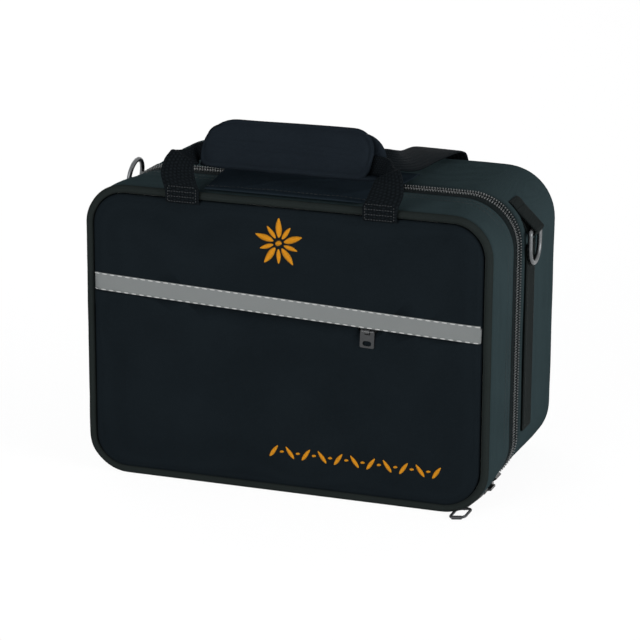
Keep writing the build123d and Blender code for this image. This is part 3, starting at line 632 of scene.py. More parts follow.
def woven(name, colour, sheen):
    """Tightly woven cloth: a lattice of threads, slubs and a little wear."""
    roughness, mottle, depth = 0.62, 0.16, 0.00007
    finish, tree, shader = start_finish(
        name, colour, roughness, Sheen_Weight=sheen, Sheen_Roughness=0.5, Specular_IOR_Level=0.0,
        Sheen_Tint=shaded(colour, PALE),
    )
    threads = object_place(tree, math.tau / (size_of("weave_pitch") * MM))
    waves = node(tree, "ShaderNodeVectorMath", {0: threads}, operation="SINE").outputs[0]
    parts = node(tree, "ShaderNodeSeparateXYZ", {0: waves}).outputs
    crossing = node(tree, "ShaderNodeCombineXYZ", {0: parts[1], 1: parts[2], 2: parts[0]}).outputs[0]
    crossed = node(tree, "ShaderNodeVectorMath", {0: waves, 1: crossing}, operation="DOT_PRODUCT")
    lattice = crossed.outputs["Value"]
    slubs = speckle(tree, 900.0, 2.0)
    patches = speckle(tree, 22.0, 3.0)
    # Painted shade: the lattice darkens the dips between threads a little; the slubs and patches vary the
    # tone at random.
    share = weigh(tree, lattice, 0.04, weigh(tree, slubs, 0.35, 0.1))
    share = weigh(tree, patches, 0.5, share)
    shade_between(tree, shader, colour, 1 - 2 * mottle, 1 + mottle * 1.6, share)
    vary_roughness(tree, shader, patches, roughness - 0.1, roughness + 0.1)
    raise_bumps(tree, shader, weigh(tree, slubs, 1.4, lattice), depth)
    return finish


def ribbed(name, colour, rib, pick, depth):
    """Webbing or tape: ribs along its length, and picks that step from rib to rib. Reads the UV map."""
    finish, tree, shader = start_finish(
        name, colour, 0.66, Sheen_Weight=0.04, Sheen_Roughness=0.45, Specular_IOR_Level=0.01,
        Sheen_Tint=shaded(colour, PALE),
    )
    place = node(tree, "ShaderNodeTexCoord").outputs["UV"]
    counts = (UV_UNIT / pick, UV_UNIT / rib, 1.0)
    counted = node(tree, "ShaderNodeVectorMath", {0: place, 1: counts}, operation="MULTIPLY")
    parts = node(tree, "ShaderNodeSeparateXYZ", {0: counted.outputs[0]})
    along, across = parts.outputs[0], parts.outputs[1]
    ribs = maths(tree, "ABSOLUTE", maths(tree, "SINE", maths(tree, "MULTIPLY", across, math.pi)))
    step = maths(tree, "MULTIPLY", maths(tree, "FLOOR", across), 0.5)
    picks = maths(tree, "SINE", maths(tree, "MULTIPLY", maths(tree, "ADD", along, step), math.tau))
    height = maths(tree, "MULTIPLY", ribs, weigh(tree, picks, 0.42, 0.58))
    slubs = speckle(tree, 700.0)
    # Painted shade and highlight: the rib and pick heights also colour the strap, darker in the grooves and
    # paler on the crests; the slubs vary its tone at random.
    share = weigh(tree, height, 0.6, weigh(tree, slubs, 0.5, -0.05))
    shade_between(tree, shader, colour, 0.4, 1.78, share)
    raise_bumps(tree, shader, weigh(tree, slubs, 0.3, height), depth)
    return finish


def pile(name, colour):
    """Short-pile plush, brushed in patches."""
    finish, tree, shader = start_finish(
        name, colour, 0.9, Sheen_Weight=0.6, Sheen_Roughness=0.4, Specular_IOR_Level=0.1
    )
    hairs = speckle(tree, 1500.0, 3.0, 0.7)
    patches = speckle(tree, 26.0, 3.0)
    share = weigh(tree, hairs, 0.6, maths(tree, "MULTIPLY", patches, 0.45))
    shade_between(tree, shader, colour, 0.55, 1.7, share)
    raise_bumps(tree, shader, hairs, 0.0009)
    return finish


def moulded(name, colour, roughness, specular):
    """Moulded plastic with a fine grain and slight wear."""
    finish, tree, shader = start_finish(name, colour, roughness, Specular_IOR_Level=specular)
    grain = speckle(tree, 1200.0, 2.0)
    wear = speckle(tree, 160.0, 3.0)
    shade_between(tree, shader, colour, 0.75, 1.4, wear)
    vary_roughness(tree, shader, wear, roughness - 0.08, roughness + 0.14)
    raise_bumps(tree, shader, grain, 0.00004)
    return finish


def plated(name, colour, roughness, metallic=1.0, coat=0.0):
    """Plated or lacquered metal with hairline scuffs."""
    finish, tree, shader = start_finish(name, colour, roughness, Metallic=metallic, Coat_Weight=coat)
    scuffs = speckle(tree, 420.0, 4.0, 0.7)
    shade_between(tree, shader, colour, 0.8, 1.2, scuffs)
    vary_roughness(tree, shader, scuffs, roughness - 0.08, roughness + 0.12)
    raise_bumps(tree, shader, scuffs, 0.00003)
    return finish


def silvered(name, colour):
    """Silver-grey reflective tape: fine glass beads on a woven back."""
    finish, tree, shader = start_finish(
        name, colour, 0.42, Metallic=0.15, Specular_IOR_Level=0.5, Sheen_Weight=0.08, Sheen_Roughness=0.4
    )
    grains = cell_distance(tree, 2600.0)
    patches = speckle(tree, 40.0, 3.0)
    share = weigh(tree, grains, 0.4, maths(tree, "MULTIPLY", patches, 0.8))
    shade_between(tree, shader, colour, 0.86, 1.08, share)
    vary_roughness(tree, shader, patches, 0.36, 0.5)
    raise_bumps(tree, shader, grains, 0.00004)
    return finish


def twisted(name, colour, sheen):
    """Sewing thread: fine twist lines and a soft gloss."""
    finish, tree, shader = start_finish(
        name, colour, 0.5, Sheen_Weight=sheen, Sheen_Roughness=0.4, Specular_IOR_Level=0.25
    )
    fibres = speckle(tree, 2600.0, 2.0)
    shade_between(tree, shader, colour, 0.72, 1.2, fibres)
    raise_bumps(tree, shader, fibres, 0.0001)
    return finish


def board(name, colour):
    """Stiff foam board with small closed cells."""
    finish, tree, shader = start_finish(name, colour, 0.85, Specular_IOR_Level=0.2)
    bubbles = cell_distance(tree, 600.0)
    shade_between(tree, shader, colour, 0.85, 1.05, bubbles)
    raise_bumps(tree, shader, bubbles, 0.0002)
    return finish


# Each finish: how it is made, the setting that holds its colour, and what sets it apart
FINISHES = {
    "shell_cloth": (woven, "shell", {"sheen": 0.06}),
    # The front's and the bead's finishes are the shell's cloth with painted shade in their colours.
    "front_cloth": (woven, "front", {"sheen": 0.02}),
    # The flap's finish is the front cloth with painted light in its colour.
    "flap_cloth": (woven, "flap", {"sheen": 0.02}),
    "bead_cloth": (woven, "bead", {"sheen": 0.05}),
    "grip_cloth": (woven, "grip", {"sheen": 0.04}),
    "handle_webbing": (ribbed, "webbing", {"rib": 1.5, "pick": 2.0, "depth": 0.00035}),
    "side_webbing": (ribbed, "side_webbing", {"rib": 1.5, "pick": 2.0, "depth": 0.00035}),
    "edge_binding": (ribbed, "binding", {"rib": 1.0, "pick": 1.2, "depth": 0.00015}),
    "woven_zip_tape": (ribbed, "zip_tape", {"rib": 0.9, "pick": 1.4, "depth": 0.00015}),
    "nylon_teeth": (moulded, "teeth", {"roughness": 0.26, "specular": 0.9}),
    "soft_plastic": (moulded, "metal", {"roughness": 0.45, "specular": 0.5}),
    "black_metal": (plated, "metal", {"roughness": 0.36, "metallic": 0.4, "coat": 0.4}),
    "ring_steel": (plated, "steel", {"roughness": 0.34}),
    "silver_tape": (silvered, "reflective", {}),
    "pale_thread": (twisted, "pale_thread", {"sheen": 0.3}),
    "dark_thread": (twisted, "dark_thread", {"sheen": 0.05}),
    "grey_thread": (twisted, "grey_thread", {"sheen": 0.05}),
    "motif_thread": (twisted, "motif_thread", {"sheen": 0.05}),
    "plush": (pile, "lining", {}),
    "foam_board": (board, "foam", {}),
}


def finish_of(name):
    """A finish by name, made when it is first asked for."""
    make, colour, details = FINISHES[name]
    return bpy.data.materials.get(name) or make(name, colour_of(colour), **details)


def refinish(finish, *node_names):
    """Gives CAD nodes a better material."""
    for name in node_names:
        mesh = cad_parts[name].data
        mesh.materials.clear()
        mesh.materials.append(finish_of(finish))


# Shell, gusset and front

# Profiles of depth in millimetres and inset, from a raw edge at the zip
REAR_WALL = (
    (-5.6, 2.9), (-5.4, 1.5), (-4.6, 0.4), (-2.6, -0.1), (6.0, -0.1), (20.0, -0.5), (35.0, -1.0),
    (50.0, -1.3), (62.0, -1.0),
)
GUSSET_WALL = (
    (-81.2, 4.0), (-80.7, 2.2), (-80.3, 1.0), (-79.6, 0.1), (-77.8, -0.5), (-68.0, -1.0), (-58.0, -1.2),
    (-49.0, -0.9), (-47.0, -0.55), (-46.0, -0.2), (-45.0, -0.55), (-42.0, -0.75), (-39.2, -0.5),
    (-38.2, -0.1), (-37.2, -0.35), (-34.0, -0.35), (-31.4, 0.1), (-30.0, 0.9), (-29.4, 2.4),
)
TOPSTITCH_ROWS = ((-46.0, -0.35), (-38.2, -0.25))
TOPSTITCH_STEPS = 480
# The back's crown: inset, and height behind the CAD shell's plane
REAR_BACK = ((24.0, 0.4), (34.0, 0.8), (50.0, 1.1), (75.0, 1.3), (95.0, 1.3))
REAR_PUFF = 0.8
SHELL_WALL = 1.2


class CASE_OT_rear_shell(bpy.types.Operator):
    """Rear shell of padded cloth, with a soft edge round the back"""

    bl_idname = "case.rear_shell"
    bl_label = "Rear Shell"

    def execute(self, context):
        rounding = size_of("rear_round")
        profile = list(REAR_WALL)
        for step in range(10):
            turn = math.radians(10 * step)
            inset = rounding * (1 - math.cos(turn)) - REAR_PUFF * math.cos(turn)
            profile.append((REAR_Y - rounding * (1 - math.sin(turn)), inset))
        profile += [(REAR_Y + crown, inset) for inset, crown in REAR_BACK]
        bm = wrap_wall(profile, cap=lambda point: point.y > 0)
        face_away(bm, CASE_MIDDLE)
        add_piece(bm, "rear_shell", "rear_half", "shell_cloth", ["rear_cover"], SHELL_WALL)
        return {"FINISHED"}


class CASE_OT_front_gusset(bpy.types.Operator):
    """Gusset between the bead and the zip, with two rows of topstitching"""

    bl_idname = "case.front_gusset"
    bl_label = "Front Gusset"

    def execute(self, context):
        bm = wrap_wall(GUSSET_WALL)
        face_away(bm, Vector((0, (FRONT_Y + LID_RIM_Y) / 2, HEIGHT / 2)))
        gusset = ["lid_gusset"]
        add_piece(bm, "front_gusset", "lid", "shell_cloth", gusset, SHELL_WALL, levels=1)
        places = []
        for y, inset in TOPSTITCH_ROWS:
            points, outs = [], []
            for step in range(TOPSTITCH_STEPS + 1):
                distance = case_round(0.0) * step / TOPSTITCH_STEPS
                place, outward = border_walk(case_border(), 0.0, distance)
                off_floor = 0.25 if outward[1] < -0.9 else 0.0
                points.append(pushed(place, outward, y, -inset) + UP * off_floor)
                outs.append(Vector((outward[0], 0, outward[1])))
            places += stitch_line(points, outs, size_of("stitch_pitch"), size_of("stitch_pitch") * 0.78)
        add_piece(beads(places), "gusset_topstitching", "lid", "dark_thread")
        return {"FINISHED"}


# The tape's line across the front: height of its middle at x 0, and its slope
TAPE_Z = HEIGHT - 76.0
TAPE_SLOPE = math.radians(-2.2)
TAPE_ALONG = Vector((math.cos(TAPE_SLOPE), 0, math.sin(TAPE_SLOPE)))
TAPE_UP = Vector((-math.sin(TAPE_SLOPE), 0, math.cos(TAPE_SLOPE)))
TAPE_HEIGHT = 13.0
# How far inside the front's outline the tape ends, and how far its stitches are from its edges
TAPE_END_INSET = 5.6
TAPE_STITCH_INSET = 0.75
TAPE_STITCH = (0.95, 0.7)
TAPE_WANDER = (0.12, 30.0)
# Distances down from the tape's line: the pocket zip's middle, and the hems of the two plies
SLIT_ZIP = 8.55
UPPER_HEM = 2.5
POCKET_HEM = 6.3
# The pocket's hem makes room for the slider where it is parked: how deep and how wide
SLIDER_DIP = 5.2
SLIDER_DIP_WIDTH = 7.0
# The hems' turned-in loops: how far back each lies, and how far into the ply
HEM_LOOPS = ((0.25, 0.2), (0.5, 0.1), (1.2, 0.0), (1.4, 0.6))
HEM_CUTS = 40


def on_front(along, up, stand=0.0):
    """A point of the front by its distances along and up from the middle of the tape's line."""
    point = Vector((0, 0, TAPE_Z)) + TAPE_ALONG * along + TAPE_UP * up
    point.y = front_surface(point.x, point.z) - stand
    return point


class CASE_OT_front_plies(bpy.types.Operator):
    """Upper ply and pocket ply of the front, with their hems at the pocket's slit"""

    bl_idname = "case.front_plies"
    bl_label = "Front Plies"

    def execute(self, context):
        plies = (
            ("upper_front", ["upper_panel", "front_panel"], -UPPER_HEM, TAPE_UP),
            ("pocket_front", ["pocket_panel"], -POCKET_HEM, -TAPE_UP),
        )

        def place(i, j):
            inset, _ = FRONT_CROWN[j]
            (x, z), _ = border_station(case_border(FRONT_Y), inset, CASE_SEGMENTS, i)
            y = front_surface(x, z)
            if j > 2:
                y += wander((x, y, z), 0.7 * size_of("ripple"), 46.0)
            return Vector((x, y, z))

        for name, replaced, height, keep in plies:
            bm = cloth_grid(CASE_COLUMNS, len(FRONT_CROWN) - 1, place)
            close_near(bm, lambda point: edge_distance(point.x, point.z) > 50)
            face_away(bm, CASE_MIDDLE)
            line = on_front(0, height)
            geometry = bm.verts[:] + bm.edges[:] + bm.faces[:]
            bmesh.ops.bisect_plane(bm, geom=geometry, plane_co=line, plane_no=keep, clear_inner=True)
            bmesh.ops.subdivide_edges(bm, edges=self.hem_edges(bm, line), cuts=HEM_CUTS)
            hem = self.hem_edges(bm, line)
            if name == "pocket_front":
                slider_x = node_middle("pocket_zip_slider").x
                for vert in {vert for edge in hem for vert in edge.verts}:
                    vert.co -= TAPE_UP * SLIDER_DIP * hump(vert.co.x - slider_x, SLIDER_DIP_WIDTH, 4)
            for back, tuck in HEM_LOOPS:
                made = bmesh.ops.extrude_edge_only(bm, edges=hem)["geom"]
                turned_in = [item for item in made if isinstance(item, bmesh.types.BMVert)]
                bmesh.ops.translate(bm, verts=turned_in, vec=BACK * back + keep * tuck)
                hem = [item for item in made if isinstance(item, bmesh.types.BMEdge)]
            # The front plies' colour carries painted shade: it is the shell's cloth set darker.
            add_piece(bm, name, "lid", "front_cloth", replaced, wall=1.0)
        return {"FINISHED"}

    def hem_edges(self, bm, line):
        """The open edges along the slit."""
        return [
            edge
            for edge in bm.edges
            if edge.is_boundary and all(abs((v.co - line).dot(TAPE_UP)) < 0.05 for v in edge.verts)
        ]


# How far inside the outline the bead's middle is sewn, and how far it stands out again
BEAD_INSET = 3.0
BEAD_STAND = 0.8
BEAD_WANDER = (0.3, 12.0)
BEAD_AROUND = 12


class CASE_OT_piping_bead(bpy.types.Operator):
    """Piping bead between the front and the gusset"""

    bl_idname = "case.piping_bead"
    bl_label = "Piping Bead"

    def execute(self, context):
        radius = size_of("bead_radius")
        middle_y = node_middle("piping_bead").y

        def place(i, j):
            turn = math.tau * j / BEAD_AROUND
            border = case_border(FRONT_Y)
            (x, z), (out_x, out_z) = border_station(border, BEAD_INSET, CASE_SEGMENTS, i)
            wobble = (BEAD_STAND + wander((x, middle_y, z), *BEAD_WANDER)) * standing(out_z)
            reach = radius * math.cos(turn) + wobble
            return Vector((x + out_x * reach, middle_y + radius * math.sin(turn), z + out_z * reach))

        bm = cloth_grid(CASE_COLUMNS, BEAD_AROUND, place)
        bmesh.ops.recalc_face_normals(bm, faces=bm.faces)
        # The bead's colour carries painted shade: it is the shell's cloth set darker.
        add_piece(bm, "front_bead", "lid", "bead_cloth", ["piping_bead"], levels=1)
        return {"FINISHED"}


class CASE_OT_silver_tape(bpy.types.Operator):
    """Reflective tape over the pocket's mouth, sewn along both edges with pale thread"""

    bl_idname = "case.silver_tape"
    bl_label = "Reflective Tape"

    def execute(self, context):
        reach = WIDTH / 2 - TAPE_END_INSET
        columns, rows = 120, 8

        def place(i, j):
            along = -reach + 2 * reach * i / columns
            up = TAPE_HEIGHT * (j / rows - 0.5)
            return on_front(along, up, 0.75 + wander((along, 0, up), *TAPE_WANDER))

        bm = cloth_grid(columns, rows, place)
        face_away(bm, CASE_MIDDLE)
        replaced = ["reflective_tape"]
        add_piece(bm, "silver_tape", "lid", "silver_tape", replaced, wall=0.6, levels=1)
        places = []
        pitch = size_of("tape_stitch_pitch")
        edge = TAPE_HEIGHT / 2 - TAPE_STITCH_INSET
        for up in (-edge, edge):
            points = [on_front(-reach + 2 * reach * i / columns, up, 0.9) for i in range(columns + 1)]
            places += stitch_line(points, [FORWARD] * len(points), pitch, pitch * 0.7, *TAPE_STITCH)
        add_piece(beads(places, around=8, rings=6), "tape_stitching", "lid", "pale_thread")
        return {"FINISHED"}


# Stitched motifs

# Middle of the rosette, and each kind of petal: where it ends from there, and its width
ROSETTE_AT = (-3.6, 184.0)
ROSETTE_PETALS = 10
PETALS = ((18.0, 5.4), (14.5, 3.6))
PETALS_FROM = 4.2
EYE_REACH = 2.3
# The running border: its ends, its leaves, and the dots between them
BORDER_FROM = Vector((-7.0, 31.5))
BORDER_TO = Vector((114.0, 29.5))
BORDER_LEAVES = 11
LEAF_REACH = (3.0, 4.2)
DOT_FROM = 4.6
DOT_TO = 7.6
# Distance between threads, their slant, how far they reach past the leaf, and their width and height
THREAD_PITCH = 0.42
THREAD_SLANT = 0.35
THREAD_PAST = 0.25
THREAD = (0.5, 0.75)


def satin_leaf(root, tip, width):
    """Places of the threads that fill a leaf on the front, side by side across it."""
    run = Vector((tip[0] - root[0], 0, tip[1] - root[1]))
    side = Vector((-run.z, 0, run.x)).normalized()
    threads = max(int(run.length / THREAD_PITCH), 4)
    places = []
    for number in range(threads):
        share = (number + 0.5) / threads
        half = width / 2 * math.sin(math.pi * share**0.85) ** 0.8 + THREAD_PAST
        middle = Vector((root[0], 0, root[1])) + run * share
        slant = (side + run.normalized() * THREAD_SLANT).normalized()
        middle.y = front_surface(middle.x, middle.z) - 0.25
        places.append(seated(middle, slant, FORWARD, 2 * half, *THREAD))
    return places


class CASE_OT_motifs(bpy.types.Operator):
    """Plain stitched motifs on the front: a rosette of leaves and a running border"""

    bl_idname = "case.motifs"
    bl_label = "Stitched Motifs"

    def execute(self, context):
        places = []
        x, z = ROSETTE_AT
        for number in range(ROSETTE_PETALS):
            turn = math.tau * number / ROSETTE_PETALS
            reach, width = PETALS[number % 2]
            across, up = math.sin(turn), math.cos(turn)
            root = (x + PETALS_FROM * across, z + PETALS_FROM * up)
            places += satin_leaf(root, (x + reach * across, z + reach * up), width)
        places += satin_leaf((x - EYE_REACH, z), (x + EYE_REACH, z), 2 * EYE_REACH)
        for number in range(BORDER_LEAVES):
            x, z = BORDER_FROM.lerp(BORDER_TO, number / (BORDER_LEAVES - 1))
            lean = LEAF_REACH[0] if number % 2 == 0 else -LEAF_REACH[0]
            rise = LEAF_REACH[1]
            places += satin_leaf((x - lean, z - rise), (x + lean, z + rise), 3.2)
            if number < BORDER_LEAVES - 1:
                places += satin_leaf((x + DOT_FROM, z), (x + DOT_TO, z), 2.0)
        add_piece(beads(places), "stitched_motifs", "lid", "motif_thread")
        return {"FINISHED"}


# Main zip

# Distance of the teeth's middles from the rim
TEETH_INSIDE = 2.3
# How far the rear row is shifted along, as a share of the pitch, and how far the teeth slant
ROW_SHIFT = 0.49
TOOTH_SLANT = 0.15
# A tooth's two beads: distance behind the row's line, inwards and along; length, share of the pitch, height
TOOTH_BEADS = ((-1.35, 0.15, 0.0, 1.9, 0.66, 2.6), (0.7, 0.95, 0.5, 3.0, 0.6, 1.56))
LID_TAPE = ((-31.4, 2.2), (-29.2, 1.6), (-27.6, 0.9), (-25.0, 0.6), (-18.4, 0.5))
REAR_TAPE = ((-17.6, 0.5), (-11.0, 0.6), (-8.4, 0.9), (-6.8, 1.6), (-4.2, 2.2))


class CASE_OT_main_zip(bpy.types.Operator):
    """Main zip: two woven tapes, two rows of teeth and the stops"""

    bl_idname = "case.main_zip"
    bl_label = "Main Zip"

    def execute(self, context):
        for side, body, profile in (("lid", "lid", LID_TAPE), ("rear", "rear_half", REAR_TAPE)):
            bm = zip_strip(profile)
            face_away(bm, CASE_MIDDLE)
            replaced = [side + "_zip_tape"]
            add_piece(bm, side + "_tape", body, "woven_zip_tape", replaced, wall=0.6)
        rows = (
            ("lid", "lid", LID_RIM_Y - TEETH_INSIDE, 1),
            ("rear", "rear_half", REAR_RIM_Y + TEETH_INSIDE, -1),
        )
        for side, body, y, back in rows:
            teeth = beads(self.row_of_teeth(y, back), around=8, rings=5)
            add_piece(teeth, side + "_teeth", body, "nylon_teeth", [side + "_zip_coil"])
        refinish("black_metal", "zip_end_stops")
        return {"FINISHED"}

    def row_of_teeth(self, y, back):
        """Places of one row: an outer bead and a lower inner bead to each tooth, between the other row's."""
        pitch = size_of("tooth_pitch")
        places = []
        for number in range(int((case_round(0.0) - 2 * ZIP_ENDS) / pitch)):
            shift = 0.0 if back > 0 else ROW_SHIFT
            distance = ZIP_ENDS + (number + 0.5 + shift) * pitch
            (x, z), outward = border_walk(case_border(), 0.0, distance)
            out = Vector((outward[0], 0, outward[1]))
            along = Vector((-outward[1], 0, outward[0]))
            loop = BACK + along * TOOTH_SLANT * back
            for behind, inside, beside, length, share, height in TOOTH_BEADS:
                middle = Vector((x, y + back * behind, z)) - out * inside + along * beside * back
                places.append(seated(middle, loop, out, length, pitch * share, height))
        return places


# The pocket zip's tape and teeth
POCKET_TAPE_REACH = 146.2
POCKET_TAPE_COLUMNS = 60
POCKET_TAPE_STEP = 4.5
POCKET_TEETH_REACH = 124.0
POCKET_TOOTH_PITCH = 1.5
POCKET_TOOTH = (1.9, 0.75 * POCKET_TOOTH_PITCH, 1.3)
POCKET_TOOTH_ROWS = ((0.8, 0.0), (-0.8, 0.5))


class CASE_OT_pocket_zip(bpy.types.Operator):
    """Pocket zip in the slit under the reflective tape"""

    bl_idname = "case.pocket_zip"
    bl_label = "Pocket Zip"

    def execute(self, context):
        tape_y = node_box("pocket_zip_tape")[0].y

        def place_at(along, down, y):
            point = Vector((0, 0, TAPE_Z)) + TAPE_ALONG * along - TAPE_UP * (SLIT_ZIP + down)
            point.y = y
            return point

        def place(i, j):
            along = POCKET_TAPE_REACH * (2 * i / POCKET_TAPE_COLUMNS - 1)
            return place_at(along, POCKET_TAPE_STEP * (j - 2), tape_y + 0.1)

        bm = cloth_grid(POCKET_TAPE_COLUMNS, 4, place)
        face_away(bm, CASE_MIDDLE)
        replaced = ["pocket_zip_tape"]
        add_piece(bm, "pocket_tape", "lid", "woven_zip_tape", replaced, wall=0.5)
        places = []
        for number in range(int(2 * POCKET_TEETH_REACH / POCKET_TOOTH_PITCH)):
            for down, shift in POCKET_TOOTH_ROWS:
                along = (number + shift) * POCKET_TOOTH_PITCH - POCKET_TEETH_REACH
                places.append(seated(place_at(along, down, tape_y - 0.55), TAPE_UP, FORWARD, *POCKET_TOOTH))
        add_piece(beads(places), "pocket_teeth", "lid", "nylon_teeth", ["pocket_zip_coil"])
        refinish("black_metal", "pocket_zip_slider", "pocket_zip_puller")
        return {"FINISHED"}


class CASE_OT_hinge_strip(bpy.types.Operator):
    """Hinge strip of cloth along the bottom"""

    bl_idname = "case.hinge_strip"
    bl_label = "Hinge Strip"

    def execute(self, context):
        low, high = node_box("hinge_strip")
        columns, rows = 60, 10

        def place(i, j):
            x = low.x + (high.x - low.x) * i / columns
            return Vector((x, low.y + (high.y - low.y) * j / rows, low.z + 0.1))

        bm = cloth_grid(columns, rows, place)
        face_away(bm, CASE_MIDDLE)
        add_piece(bm, "hinge_cloth", "lid", "shell_cloth", ["hinge_strip"], wall=1.0)
        return {"FINISHED"}


# How much narrower each side of the flap is at its front, and the row of points under its hem's stitches
FLAP_NARROW = 12.0
FLAP_STITCH_ROW = 3
FLAP_STITCH = (2.4, 0.5, 0.35)
# Ridge of the flap's hem and the dip behind it: distance from the front edge, width and height
FLAP_HEM = ((2.0, 1.8, 0.9), (7.0, 1.1, -0.75))
# How far the flap rises in its middle, and how far it may sink
FLAP_RISE = 2.2
FLAP_SINK = 0.55
FLAP_WANDER = (1.1, 26.0)
# Creases of the flap: place across its front, slant, width and height
FLAP_CREASES = ((-46.0, 1.3, 2.6, 1.8), (-8.0, -0.4, 5.0, 0.8), (33.0, 0.6, 3.4, 1.1))


class CASE_OT_zip_flap(bpy.types.Operator):
    """Flap of cloth over the zip between the handle's tabs, with a hem at its front"""

    bl_idname = "case.zip_flap"
    bl_label = "Zip Flap"

    def execute(self, context):
        low, high = node_box("zip_guard_flap")
        columns, rows = 48, 34
        middle = (low.x + high.x) / 2

        def place(i, j):
            across, back = 2 * i / columns - 1, j / rows
            y = low.y + 0.1 + (high.y - low.y - 0.1) * back
            x = middle + across * ((high.x - low.x) / 2 - FLAP_NARROW * (1 - back))
            z = high.z - 0.2 + sum(height * hump(y - low.y - at, width) for at, width, height in FLAP_HEM)
            for at, slant, width, height in FLAP_CREASES:
                z += height * hump(x - middle - at - slant * (y - low.y), width) * min(back * 3, 1.0)
            z += wander((x, y, z), *FLAP_WANDER) * min(back * 4, 1.0)
            z += FLAP_RISE * math.sin(math.pi * min(back * 1.5, 1.0)) * (1 - across**4)
            return Vector((x, y, max(z, high.z - FLAP_SINK)))

        bm = cloth_grid(columns, rows, place)
        face_away(bm, CASE_MIDDLE)
        replaced = ["zip_guard_flap"]
        # The flap's colour carries painted light: it is the front cloth set paler.
        flap = add_piece(bm, "zip_flap", "lid", "flap_cloth", replaced, wall=1.2, levels=1)
        points = [place(i, FLAP_STITCH_ROW) + UP * 0.15 for i in range(columns + 1)]
        places = stitch_line(points, [UP] * len(points), size_of("stitch_pitch"), *FLAP_STITCH)
        add_piece(beads(places), "flap_stitching", "lid", "dark_thread")
        return {"FINISHED"}


# Handle

GRIP_LEAN = math.radians(8.0)
GRIP_BACK = Vector((0, math.cos(GRIP_LEAN), -math.sin(GRIP_LEAN)))
GRIP_UP = Vector((0, math.sin(GRIP_LEAN), math.cos(GRIP_LEAN)))
GRIP_MIDDLE_X = -3.6
GRIP_LENGTH = 132.0
GRIP_HEIGHT = 33.0
GRIP_CORNER = 15.0
GRIP_ORIGIN = Vector((0, FRONT_Y + 15.5, HEIGHT + 15.0))
GRIP_SEGMENTS = (18, 2, 8, 10, 28, 10, 8, 2, 18)
WEBBING_WIDTH = 26.0
WEBBING_THICK = 1.8
ROLL_WIDTH = 12.5
ROLL_THICK = 3.4
# Distance of the sewn ends from the handle's middle
SEWN_FRONT_X = 72.8
SEWN_REAR_X = 70.0


def grip_point(u, v, x=0.0):
    """A point of the grip: u back through it, v up its height."""
    return GRIP_ORIGIN + GRIP_BACK * u + GRIP_UP * v + Vector((x, 0, 0))


def tipped(across, up, back=0.0):
    """The direction across a strap that is tipped out of its flat lie."""
    return Vector((across, back, up))


def both_legs(stations):
    """A strap's stations from its left end to its right end, with x from the handle's middle."""
    legs = list(stations)
    for (x, y, z), across, width, thick in reversed(stations):
        legs.append(((-x, y, z), Vector((-across[0], across[1], across[2])), width, thick))
    return [((HANDLE_X + x, y, z), *rest) for (x, y, z), *rest in legs]


# Stitches of the webbing's sewn ends
BOX_HALF = 10.5
BOX_PITCH = 2.0
BOX_STITCH = (1.25, 0.5, 0.45)
CROSS_PITCH = 2.2
CROSS_STITCH = (1.5, 0.5, 0.45)


def box_stitches(middle_x, low_z, high_z, y, out, rows):
    """Places of the rows of stitches that hold a strap's end."""
    ends = []
    for row in range(rows):
        z = low_z + (high_z - low_z) * row / (rows - 1)
        ends.append([Vector((middle_x + side, y, z)) for side in (-BOX_HALF, BOX_HALF)])
    for side in (-BOX_HALF, BOX_HALF):
        ends.append([Vector((middle_x + side, y, z)) for z in (low_z, high_z)])
    places = []
    for points in ends:
        places += stitch_line(points, [out, out], BOX_PITCH, *BOX_STITCH)
    return places


class CASE_OT_front_handle(bpy.types.Operator):
    """Front handle webbing: sewn to the front, up over its edge and rolled through the grip"""

    bl_idname = "case.front_handle"
    bl_label = "Front Handle Webbing"

    def execute(self, context):
        bar = grip_point(7.1, 11.15)
        flat, sewn_y = tipped(1, 0), FRONT_Y - 1.9
        full, thick = WEBBING_WIDTH, WEBBING_THICK
        stations = [
            ((-SEWN_FRONT_X, sewn_y + 0.5, HEIGHT - 7.4), flat, full - 1, 1.4),
            ((-SEWN_FRONT_X, sewn_y, HEIGHT - 5.0), flat, full - 1, thick),
            ((-72.9, sewn_y, HEIGHT - 1.5), flat, full - 1, thick),
            ((-73.4, sewn_y + 0.2, HEIGHT + 3.0), tipped(0.998, -0.04), full, thick),
            ((-76.2, sewn_y + 1.4, HEIGHT + 10.5), tipped(0.985, -0.16), full + 0.5, thick),
            ((-76.8, sewn_y + 4.0, HEIGHT + 18.5), tipped(0.965, -0.26), full - 3, thick),
            ((-76.0, sewn_y + 7.0, HEIGHT + 22.6), tipped(0.93, -0.37), 20.0, 2.0),
            ((-75.6, sewn_y + 9.6, HEIGHT + 23.8), tipped(0.9, -0.43, 0.05), 19.0, 2.0),
            ((-74.8, FRONT_Y + 11.5, HEIGHT + 22.6), tipped(0.85, -0.52, 0.1), 17.0, 2.4),
            ((-72.6, FRONT_Y + 17.0, HEIGHT + 22.0), tipped(0.6, -0.77, 0.2), 14.0, 2.8),
            ((-68.0, bar.y, bar.z), -GRIP_UP, ROLL_WIDTH, ROLL_THICK),
            ((-40.0, bar.y, bar.z), -GRIP_UP, ROLL_WIDTH, ROLL_THICK),
        ]
        tabs_and_loop = ["front_handle_tabs", "front_handle_loop"]
        strap = ribbon(both_legs(stations), 7)
        webbing = add_piece(strap, "front_webbing", None, "handle_webbing", tabs_and_loop)
        places = []
        for side in (-SEWN_FRONT_X, SEWN_FRONT_X):
            low_z, high_z = HEIGHT - 6.2, HEIGHT + 4.5
            places += box_stitches(HANDLE_X + side, low_z, high_z, sewn_y - 0.95, FORWARD, 4)
        stitches = add_piece(beads(places), "front_webbing_stitches", None, "grey_thread")
        for piece in (webbing, stitches):
            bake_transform(piece)
        return {"FINISHED"}


